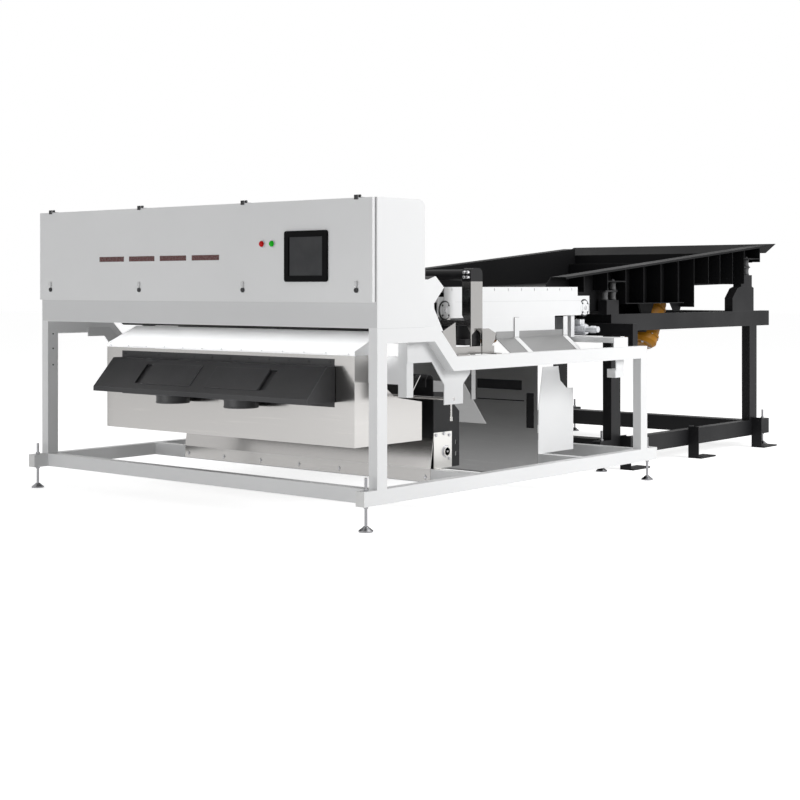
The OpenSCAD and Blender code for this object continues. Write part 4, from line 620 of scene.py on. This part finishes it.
def dressDoor():
    door = {"face": -29, "sink": 0.1, "bays": (-1306, -446, 446, 1306)}
    inside = door["face"] + door["sink"]
    bezel = {"middle": (941, -34, 1455), "size": (322, 280), "corner": 14, "innerCorner": 2,
             "rim": 33, "proud": 3, "round": 1}
    bm = bmesh.new()
    for inset, corner in ((0, bezel["corner"]), (2 * bezel["rim"], bezel["innerCorner"])):
        corners = addFacing(bm, bezel["middle"], *(size - inset for size in bezel["size"]))
        bmesh.ops.bevel(bm, geom=corners, offset=corner / 1000, affect="VERTICES", segments=5,
                        profile=0.5, material=-1)
    bmesh.ops.delete(bm, geom=bm.faces[:], context="FACES_ONLY")
    bmesh.ops.bridge_loops(bm, edges=bm.edges[:])
    raiseFacing(bm, bezel["proud"])
    finishPiece("screenBezel", bm, "blackPlastic", "door", soften=bezel["round"])

    buttons = {"z": 1528, "stop": 602, "start": 681, "domeOut": 6, "steps": 40}
    collar = [(17.6, 0), (21.5, 0), (21.5, 1.2), (20.3, 3.4), (18.4, 3.4), (17.6, 2.6), (17.6, 0)]
    bm = bmesh.new()
    for x in (buttons["stop"], buttons["start"]):
        place = placeAt(x, door["face"], buttons["z"], (0, -1, 0))
        spinShape(bm, collar, place, buttons["steps"])
    finishPiece("buttonCollars", bm, "zincSteel", "door")

    lever = {"z": 1305, "size": (20, 26), "proud": 9, "round": 4}
    stem = {"half": 5, "proud": 4, "reach": (-10, 2), "round": 1.5}
    bm = bmesh.new()
    for x in door["bays"]:
        wide, tall = lever["size"]
        addBlock(bm, span(x, wide / 2), (door["face"] - lever["proud"], inside),
                 span(lever["z"], tall / 2), lever["round"])
        addBlock(bm, span(x, stem["half"]), (door["face"] - stem["proud"], inside),
                 [lever["z"] - tall / 2 + end for end in stem["reach"]], stem["round"])
    finishPiece("latchLevers", bm, "greyPaint", "door")

    hinge = {"half": 13, "z": (1752, 1777), "proud": 3, "round": 1, "screwZ": 1763, "screwX": 7,
             "screw": 4}
    outside = door["face"] - hinge["proud"]
    bm = bmesh.new()
    for x in door["bays"]:
        addBlock(bm, span(x, hinge["half"]), (outside, inside), hinge["z"], hinge["round"])
        for screwX in span(x, hinge["screwX"]):
            place = placeAt(screwX, outside, hinge["screwZ"], (0, -1, 0))
            addSocketScrew(bm, place, hinge["screw"])
    finishPiece("hingePlates", bm, "blackSteel", "door")

    dome = [(0, 9), (6, 8.6), (11, 7.4), (14.4, 5), (15.9, 2), (16.2, -1.2), (0, -1.2)]
    for name, finish in (("stop", "stopRed"), ("start", "startGreen")):
        place = placeAt(buttons[name], door["face"] - buttons["domeOut"], buttons["z"], (0, -1, 0))
        bm = bmesh.new()
        spinShape(bm, dome, place, buttons["steps"])
        finishPiece(name + "Dome", bm, finish, name + "_button", smooth=True)


def dressCabinet():
    # raised lines where the sill and the conveyor's covers join
    seam = {"proud": 0.6, "round": 0.2, "lines": (
        {"x": 1430, "y": (1, 398), "z": (1065.4, 1068.2)},
        {"x": 1063, "y": (1140, 2510), "z": (1195.6, 1198.8)})}
    bm = bmesh.new()
    for line in seam["lines"]:
        addPair(bm, (line["x"], line["x"] + seam["proud"]), line["y"], line["z"], seam["round"])
    finishPiece("jointSeams", bm, "greyPaint", "machine")

    posts = {"x": 1370, "y": 40, "zs": (985, 890, 785), "size": 6}
    for side, name in ((1, "right"), (-1, "left")):
        screwRow(name + "PostScrews", [(side * posts["x"], posts["y"], z) for z in posts["zs"]],
                 (-side, 0, 0), posts["size"], "blackSteel", "machine")

    duct = {"zs": (1402, 1668), "y": (176, 226), "half": 1240, "tall": 34, "tooth": 9, "pitch": 22,
            "toothThick": 2.5, "toothShort": 5, "back": (-6, 4), "under": 3, "round": 1, "lid": 3,
            "lidOver": 1, "lidRound": 0.8}
    front, rear = duct["y"]
    whole = span(0, duct["half"])
    bm = bmesh.new()
    for z in duct["zs"]:
        top = z + duct["tall"]
        addBlock(bm, whole, [rear + end for end in duct["back"]], (z - duct["under"], top),
                 duct["round"])
        for index in range(int(2 * duct["half"] / duct["pitch"])):
            x = -duct["half"] + duct["pitch"] * (index + 0.5)
            for low in (z, top - duct["under"]):
                addBlock(bm, span(x, duct["tooth"] / 2), (front, rear - duct["toothShort"]),
                         (low, low + duct["toothThick"]))
        addBlock(bm, whole, (front - duct["lid"], front), inward((z, top), -duct["lidOver"]),
                 duct["lidRound"])
    finishPiece("cableDucts", bm, "greyPaint", "machine")


def makeDoorSeal():
    # soft strip with rounded edges round the door's opening
    seal = {"half": 1416.4, "z": (1207.1, 1759.9), "back": -0.05, "wide": 11.9, "deep": 2.9,
            "round": 1.2}
    low, high = seal["z"]
    bm = bmesh.new()
    addFacing(bm, (0, seal["back"], (low + high) / 2), 2 * seal["half"], high - low)
    inner = bm.faces[:]
    bmesh.ops.inset_region(bm, faces=inner, thickness=seal["wide"] / 1000, use_boundary=True)
    bmesh.ops.delete(bm, geom=inner, context="FACES_ONLY")
    raiseFacing(bm, seal["deep"])
    obj = finishPiece("sealStrip", bm, "sealRubber", "machine", soften=seal["round"])
    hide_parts("door_seal")


# --- hood, separation box and apron

def dressHood():
    spigot = {"x": 294, "y": 108, "low": 588, "steps": 48}
    bead = [(100, 3), (102, 3.5), (103.2, 6), (102, 8.5), (100, 9), (99.5, 6), (100, 3)]
    root = [(100, 46), (106, 46), (106, 51), (100, 51), (100, 46)]
    bm = bmesh.new()
    for side in (-1, 1):
        place = placeAt(side * spigot["x"], spigot["y"], spigot["low"], (0, 0, 1))
        for ring in (bead, root):
            spinShape(bm, ring, place, spigot["steps"])
    finishPiece("spigotRings", bm, "hoodPaint", "machine")


def dressFronts():
    # rows of heads on the front faces, even about the machine's middle
    rows = {
        "hoodScrews": {"count": 12, "pitch": 160, "face": 229, "z": 866, "size": 6,
                       "finish": "blackSteel", "head": addSocketScrew},
        "apronBolts": {"count": 7, "pitch": 342, "face": 902, "z": 168, "size": 8,
                       "finish": "zincSteel", "head": addHexBolt},
        "lidScrews": {"count": 13, "pitch": 170, "face": 230, "z": 916, "size": 5,
                      "finish": "zincSteel", "head": addSocketScrew},
    }
    for name, row in rows.items():
        first = -row["pitch"] * (row["count"] - 1) / 2
        places = [(first + row["pitch"] * i, row["face"], row["z"]) for i in range(row["count"])]
        screwRow(name, places, (0, -1, 0), row["size"], row["finish"], "machine", row["head"])


# --- chute side: bearing plates, a black plate painting the rear panel's dark reflections, and skirt straps

def dressChute():
    plate = {"x": 1067, "low": (930, 215), "size": (171, 213), "bolt": 10,
             "holes": ((0.12, 0.93), (0.55, 0.95), (0.85, 0.9), (0.85, 0.25))}
    for side, name in ((1, "right"), (-1, "left")):
        holes = [(side * plate["x"], plate["low"][0] + s * plate["size"][0],
                  plate["low"][1] + t * plate["size"][1]) for s, t in plate["holes"]]
        screwRow(name + "BracketBolts", holes, (side, 0, 0), plate["bolt"], "zincSteel", "machine",
                 addHexBolt)

    hub = {"y": 1044, "z": 311, "parts": (
        (40, [(0, 12), (24, 12), (29.5, 10), (30, 7), (30.6, 7), (30.6, 4.5), (36, 4), (38, 0),
              (0, 0)]),
        (24, [(0, 16), (5, 15), (6, 12), (9, 11.9), (9, 11), (0, 11)]))}
    bm = bmesh.new()
    for side in (-1, 1):
        place = placeAt(side * plate["x"], hub["y"], hub["z"], (side, 0, 0))
        for steps, profile in hub["parts"]:
            spinShape(bm, profile, place, steps)
    finishPiece("bearingHubs", bm, "zincSteel", "machine")

    # black ribbed plate behind the rear panel's cutouts: painted dark reflection of the black parts
    reflectionPlate = {"half": 1045, "y": (2007.5, 2010), "z": (365, 705), "round": 0.6}
    rib = {"xs": (-700, 0, 700), "half": 15, "deep": (-1, 22), "short": 6, "round": 1.5}
    bm = bmesh.new()
    addBlock(bm, span(0, reflectionPlate["half"]), reflectionPlate["y"], reflectionPlate["z"], reflectionPlate["round"])
    for x in rib["xs"]:
        addBlock(bm, span(x, rib["half"]), [reflectionPlate["y"][1] + end for end in rib["deep"]],
                 inward(reflectionPlate["z"], rib["short"]), rib["round"])
    finishPiece("rearReflectionPlate", bm, "blackPaint", "machine")

    # each strap lies flat on the side, then follows the skirt's slope outwards
    strap = {"x": 1069, "y": 1549, "length": 790, "shares": (0.24, 0.93), "wide": 50,
             "z": (973, 1095), "flat": 1.2, "fold": (1064.5, 968), "out": 110, "drop": 89,
             "lift": 2.4, "thick": 1.8, "short": 1, "flatRound": 0.4, "round": 0.5}
    bm = bmesh.new()
    for share in strap["shares"]:
        y = strap["y"] + share * strap["length"]
        addPair(bm, (strap["x"], strap["x"] + strap["flat"]),
                inward((y, y + strap["wide"]), strap["short"]), strap["z"], strap["flatRound"])
        for side in (-1, 1):
            slope = Vector((side * strap["out"], 0, -strap["drop"])).normalized()
            lift = Vector((side * strap["drop"], 0, strap["out"])).normalized()
            middle = spot(side * (strap["fold"][0] + strap["out"] / 2), y + strap["wide"] / 2,
                          strap["fold"][1] - strap["drop"] / 2) + lift * strap["lift"] / 1000
            turned = Matrix((slope, Vector((0, 1, 0)), lift)).transposed().to_4x4()
            size = Vector((math.hypot(strap["out"], strap["drop"]), strap["wide"], strap["thick"]))
            addCube(bm, Matrix.Translation(middle) @ turned, size / 1000, strap["round"])
    finishPiece("skirtStraps", bm, "whitePaint", "machine")


def dressColumns():
    # black blocks inside the columns' openings: painted shade that makes the hollows dark
    hollowShade = {"x": (1256, 1262), "y": (1029, 1128), "z": (893, 1090), "round": 1}
    bm = bmesh.new()
    addPair(bm, hollowShade["x"], hollowShade["y"], hollowShade["z"], hollowShade["round"])
    finishPiece("columnHollowShade", bm, "blackPaint", "machine")

    knob = {"xs": (1232, 1256), "y": 1022, "zs": (1372, 1344), "steps": 24,
            "profile": [(0, 22), (6, 22), (9, 20), (10, 16), (10, 5), (7, 4), (7, 0), (0, 0)]}
    bm = bmesh.new()
    for side in (-1, 1):
        for x in knob["xs"]:
            for z in knob["zs"]:
                place = placeAt(side * x, knob["y"], z, (0, -1, 0))
                spinShape(bm, knob["profile"], place, knob["steps"])
    finishPiece("beamKnobs", bm, "rollerSteel", "machine")

    foot = {"half": 1058, "y": (2004, 2007), "z": (64, 140), "lip": 12, "thick": 2.5, "round": 0.5}
    whole, (front, rear), low = span(0, foot["half"]), foot["y"], foot["z"][0]
    bm = bmesh.new()
    addBlock(bm, whole, foot["y"], foot["z"], foot["round"])
    addBlock(bm, whole, (front - foot["lip"], rear), (low, low + foot["thick"]), foot["round"])
    finishPiece("rearPanelFoot", bm, "darkSteel", "machine")


# --- conveyor: belt, toothed belt, roller ends and bearings

rollers = {"head": 1043, "tail": 2549, "z": 1148}


def makeBelts():
    belt = {"drum": 44, "play": 0.3, "thick": 3, "half": 1000, "edge": 14, "edgeUp": 0.4,
            "steps": 98}
    pulleys = [(Vector((rollers[end], rollers["z"])), belt["drum"]) for end in ("head", "tail")]
    core = belt["thick"] - belt["edgeUp"]
    bm = bmesh.new()
    addBeltRing(bm, pulleys, span(0, belt["half"]), belt["play"], core, belt["steps"])
    for x in (-belt["half"], belt["half"] - belt["edge"]):  # sealed edges, a little thicker
        addBeltRing(bm, pulleys, (x, x + belt["edge"]), belt["play"] + core, belt["edgeUp"],
                    belt["steps"])
    obj = finishPiece("conveyorBelt", bm, "beltRubber", "machine")
    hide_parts("belts")

    drive = {"motor": (2500, 1060), "motorRadius": 14, "tailRadius": 28, "x": (1010.5, 1029.5),
             "play": 1.1, "thick": 2.2, "teeth": 66, "toothPlay": 0.8, "tooth": (18.5, 1.2, 1.1)}
    pulleys = [(Vector(drive["motor"]), drive["motorRadius"]),
               (Vector((rollers["tail"], rollers["z"])), drive["tailRadius"])]
    bm = bmesh.new()
    addBeltRing(bm, pulleys, drive["x"], drive["play"], drive["thick"], drive["teeth"])
    for index in range(drive["teeth"]):
        angle = 2 * math.pi * (index + 0.5) / drive["teeth"]
        middle = spot(sum(drive["x"]) / 2, *beltPoint(pulleys, angle, drive["toothPlay"]))
        addCube(bm, Matrix.Translation(middle) @ Matrix.Rotation(angle, 4, "X"),
                Vector(drive["tooth"]) / 1000)
    obj = finishPiece("toothedBelt", bm, "sealRubber", "machine")
    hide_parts("belts")


def dressRollers():
    cap = {"x": 1071, "steps": 32, "profile": [
        (0, 1.4), (9, 1.4), (11, 0.6), (14.6, 0.4), (15.6, -1.5), (15.6, -3), (0, -3)]}
    for end in ("head", "tail"):
        bm = bmesh.new()
        for side in (-1, 1):
            place = placeAt(side * cap["x"], rollers[end], rollers["z"], (side, 0, 0))
            spinShape(bm, cap["profile"], place, cap["steps"])
        finishPiece(end + "ShaftCaps", bm, "rollerSteel", end + "_roller")

    flange = {"x": 1057, "steps": 40, "bolts": {"count": 4, "radius": 42, "seat": 8.5, "size": 6}}
    # shadow is a black ring that shows past the white cover's rim: a painted shadow round each
    # bearing
    shadow = [(32.4, 0), (58, 0), (58, 3), (57, 4), (50, 4), (49, 3), (32.4, 3), (32.4, 0)]
    cover = [(32.4, 3), (49, 3), (49, 7), (47.5, 8.5), (36, 9), (33.5, 12), (32.4, 12), (32.4, 3)]
    dark, pale = bmesh.new(), bmesh.new()
    for side in (-1, 1):
        for end in ("head", "tail"):
            place = placeAt(side * flange["x"], rollers[end], rollers["z"], (side, 0, 0))
            spinShape(dark, shadow, place, flange["steps"])
            spinShape(pale, cover, place, flange["steps"])
            addBoltRing(dark, place, flange["bolts"])
    finishPiece("bearingShadowRingsAndBolts", dark, "blackSteel", "machine")
    finishPiece("bearingCovers", pale, "whitePaint", "machine")


def dressGearmotor():
    motor = {"y": 2500, "z": 1006, "body": (978, 1110), "fins": 11, "bare": 12, "collarX": 1150}
    fin = [(31.5, -1.5), (36, -1.5), (36.6, 0), (36, 1.5), (31.5, 1.5), (31.5, -1.5)]
    collar = [(20.2, -4), (23.5, -4), (24, 0), (23.5, 30), (22, 32), (20.2, 32), (20.2, -4)]
    box = {"x": (1004, 1078), "y": (2474, 2526), "z": (1036, 1070), "round": 3, "inset": 7,
           "screw": 5}
    first, last = inward(motor["body"], motor["bare"])
    bm = bmesh.new()
    for index in range(motor["fins"]):
        x = first + index * (last - first) / (motor["fins"] - 1)
        spinShape(bm, fin, placeAt(x, motor["y"], motor["z"], (1, 0, 0)))
    spinShape(bm, collar, placeAt(motor["collarX"], motor["y"], motor["z"], (1, 0, 0)))
    addBlock(bm, box["x"], box["y"], box["z"], box["round"])
    finishPiece("motorFins", bm, "barAluminium", "machine")
    screws = [(x, y, box["z"][1]) for x in inward(box["x"], box["inset"])
              for y in inward(box["y"], box["inset"])]
    screwRow("motorBoxScrews", screws, (0, 0, 1), box["screw"], "zincSteel", "machine")


# --- feeder: rubber springs, motors' flanges and pan bolts

def makeSprings():
    stack = {"x": 915, "pitch": 104, "radius": 26, "height": 58, "gap": 11, "disc": 5, "round": 1.5}
    groups = (("front", 3028, 1195), ("rear", 5025, 1382))
    waist = [(0, 5), (25.8, 5), (24.2, 11), (22.6, 20), (22, 29), (22.6, 38), (24.2, 47),
             (25.8, 53), (0, 53)]
    disc = [(0, 0), (25, 0), (26, 1), (26, 4), (25, 5), (0, 5), (0, 0)]
    for name, y, z in groups:
        plate = z + stack["height"]
        upper = plate + stack["gap"]
        rubber, steel = bmesh.new(), bmesh.new()
        for x in (-stack["x"], stack["x"]):
            for at in (y, y + stack["pitch"]):
                for low in (z, upper):
                    high = low + stack["height"] - stack["disc"]
                    spinShape(rubber, waist, placeAt(x, at, low, (0, 0, 1)))
                    spinShape(steel, disc, placeAt(x, at, low, (0, 0, 1)))
                    spinShape(steel, disc, placeAt(x, at, high, (0, 0, 1)))
        addPair(steel, span(stack["x"], stack["radius"]),
                inward((y, y + stack["pitch"]), -stack["radius"]), (plate, upper),
                stack["round"])
        obj = finishPiece(name + "SpringBlocks", rubber, "springRubber", None, smooth=True)
        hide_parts(name + "_springs")
        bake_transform(obj)
        obj = finishPiece(name + "SpringPlates", steel, "blackSteel", None)
        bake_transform(obj)


def dressFeederMotors():
    motor = {"at": (735, 3880, 1032), "tilt": 27, "flangeAt": 112, "flangeSteps": 56,
             "capSteps": 40, "flangeBolts": {"count": 8, "radius": 123.2, "seat": 9, "size": 6},
             "capBolts": {"count": 4, "radius": 75, "seat": 190, "size": 10}}
    flange = [(119, -9), (126.5, -9), (126.5, -0.6), (125.6, 0), (126.5, 0.6), (126.5, 9),
              (119, 9), (119, -9)]
    cap = [(0, 190), (60, 190), (60, 194), (52, 199), (0, 201)]
    tilt = math.radians(motor["tilt"])
    paint, steel = bmesh.new(), bmesh.new()
    for side in (-1, 1):
        place = placeAt(side * motor["at"][0], *motor["at"][1:],
                        (0, math.sin(tilt), math.cos(tilt)))
        for turned in (place @ Matrix.Rotation(math.pi, 4, "X"), place):
            shifted = turned @ Matrix.Translation((0, 0, motor["flangeAt"] / 1000))
            spinShape(paint, flange, shifted, motor["flangeSteps"])
            spinShape(paint, cap, turned, motor["capSteps"])
            addBoltRing(steel, shifted, motor["flangeBolts"])
            addBoltRing(steel, turned, motor["capBolts"])
    finishPiece("motorFlanges", paint, "orangePaint", "pan")
    finishPiece("motorFlangeBolts", steel, "zincSteel", "pan")


def dressPan():
    shelf = {"seats": ((3080, 1330), (5077, 1517)), "x": 915, "shift": 52, "bolt": 16}
    places = [(side * shelf["x"], at, z) for side in (-1, 1) for y, z in shelf["seats"]
              for at in span(y, shelf["shift"])]
    screwRow("springBolts", places, (0, 0, 1), shelf["bolt"], "blackSteel", "pan", addHexBolt)

    web = {"x": (856, 861), "y": (2662, 3192), "z": (1118, 1282), "lip": 22, "thick": 5,
           "round": 0.8}
    (inner, outer), low = web["x"], web["z"][0]
    bm = bmesh.new()
    addPair(bm, web["x"], web["y"], web["z"], web["round"])
    addPair(bm, (inner - web["lip"], outer), web["y"], (low, low + web["thick"]), web["round"])
    finishPiece("panWebs", bm, "panPaint", "pan")


dressDoor()
dressCabinet()
makeDoorSeal()
dressHood()
dressFronts()
dressChute()
dressColumns()
makeBelts()
dressRollers()
dressGearmotor()
makeSprings()
dressFeederMotors()
dressPan()
print("stage: pieces added")


# --- camera, floor and light

def addCamera():
    view = {"lens": 69.22, "sensor": 36.0, "place": (6.7254, -8.8393, 1.2876), "turn": 39.95,
            "shift": -0.1414, "clipEnd": 200.0}
    data = bpy.data.cameras.new("camera")
    data.lens = view["lens"]
    data.sensor_width = view["sensor"]
    data.shift_y = view["shift"]
    data.clip_end = view["clipEnd"]
    camera = bpy.data.objects.new("camera", data)
    camera.location = view["place"]
    camera.rotation_euler = (math.radians(90), 0, math.radians(view["turn"]))
    scene.collection.objects.link(camera)
    scene.camera = camera


def seenRays(tree):
    # rays from the camera, off gloss and through glass, which show the pale background
    path = addNode(tree, "ShaderNodeLightPath").outputs
    seen = mathNode(tree, "MAXIMUM", path["Is Camera Ray"], path["Is Glossy Ray"])
    return mathNode(tree, "MAXIMUM", seen, path["Is Transmission Ray"])


def addFloor():
    floor = {"half": 60.0, "colour": (0.8, 0.8, 0.8), "speck": 0.99, "scale": 3.0, "detail": 4.0,
             "roughness": 0.9, "glow": 0.75}
    bm = bmesh.new()
    bmesh.ops.create_grid(bm, x_segments=2, y_segments=2, size=floor["half"])
    mesh = bpy.data.meshes.new("floor")
    bm.to_mesh(mesh)
    bm.free()
    obj = bpy.data.objects.new("floor", mesh)
    scene.collection.objects.link(obj)
    material, tree, shader, place = startMaterial("floorPaper")
    shade = tuple(floor["speck"] * part for part in floor["colour"])
    speck = noiseNode(tree, place, floor["scale"], floor["detail"])
    feed(tree, mixColour(tree, speck, floor["colour"], shade), shader.inputs["Base Color"])
    shader.inputs["Roughness"].default_value = floor["roughness"]
    shader.inputs["Specular IOR Level"].default_value = 0.0
    glow = addNode(tree, "ShaderNodeEmission", values={"Color": (1, 1, 1, 1)})
    feed(tree, mathNode(tree, "MULTIPLY", seenRays(tree), floor["glow"]),
                   glow.inputs["Strength"])
    both = addNode(tree, "ShaderNodeAddShader")
    feed(tree, shader.outputs[0], both.inputs[0])
    feed(tree, glow.outputs[0], both.inputs[1])
    feed(tree, both.outputs[0], tree.nodes["Material Output"].inputs["Surface"])
    mesh.materials.append(material)


def addWorld():
    light = {"ambient": 0.3, "seen": 1.0}
    world = bpy.data.worlds.new("studio")
    scene.world = world
    world.use_nodes = True
    tree = world.node_tree
    back = tree.nodes["Background"]
    back.inputs["Color"].default_value = (1, 1, 1, 1)
    level = addNode(tree, "ShaderNodeMapRange",
                    values={"To Min": light["ambient"], "To Max": light["seen"]})
    feed(tree, seenRays(tree), level.inputs["Value"])
    feed(tree, level.outputs["Result"], back.inputs["Strength"])


def addLamps():
    # lidLamp is a narrow strip of light along the box's lid
    lamps = {
        "sideLamp": {"place": (9.0, 1.5, 4.5), "aim": (0.3, 0.0, 0.8), "size": (5.0, 4.0),
                     "power": 620},
        "frontLamp": {"place": (-1.0, -9.5, 0.95), "aim": (0.0, 0.0, 0.8), "size": (6.0, 1.5),
                      "power": 140},
        "topLamp": {"place": (0.5, 0.5, 7.5), "aim": (0.0, 0.0, 0.5), "size": (5.0, 6.0),
                    "power": 190},
        "lidLamp": {"place": (0.0, -2.69, 1.0), "aim": (0.0, -2.3, 0.96), "size": (2.5, 0.04),
                    "power": 1.8, "fan": 45},
    }
    for name, lamp in lamps.items():
        data = bpy.data.lights.new(name, "AREA")
        data.shape = "RECTANGLE"
        data.size, data.size_y = lamp["size"]
        data.energy = lamp["power"]
        data.spread = math.radians(lamp.get("fan", 180))
        obj = bpy.data.objects.new(name, data)
        obj.location = lamp["place"]
        aim = Vector(lamp["aim"]) - Vector(lamp["place"])
        obj.rotation_euler = aim.to_track_quat("-Z", "Y").to_euler()
        scene.collection.objects.link(obj)


addCamera()
addFloor()
addWorld()
addLamps()
scene.view_settings.view_transform = "Standard"
print("stage: camera, floor and lamps set")
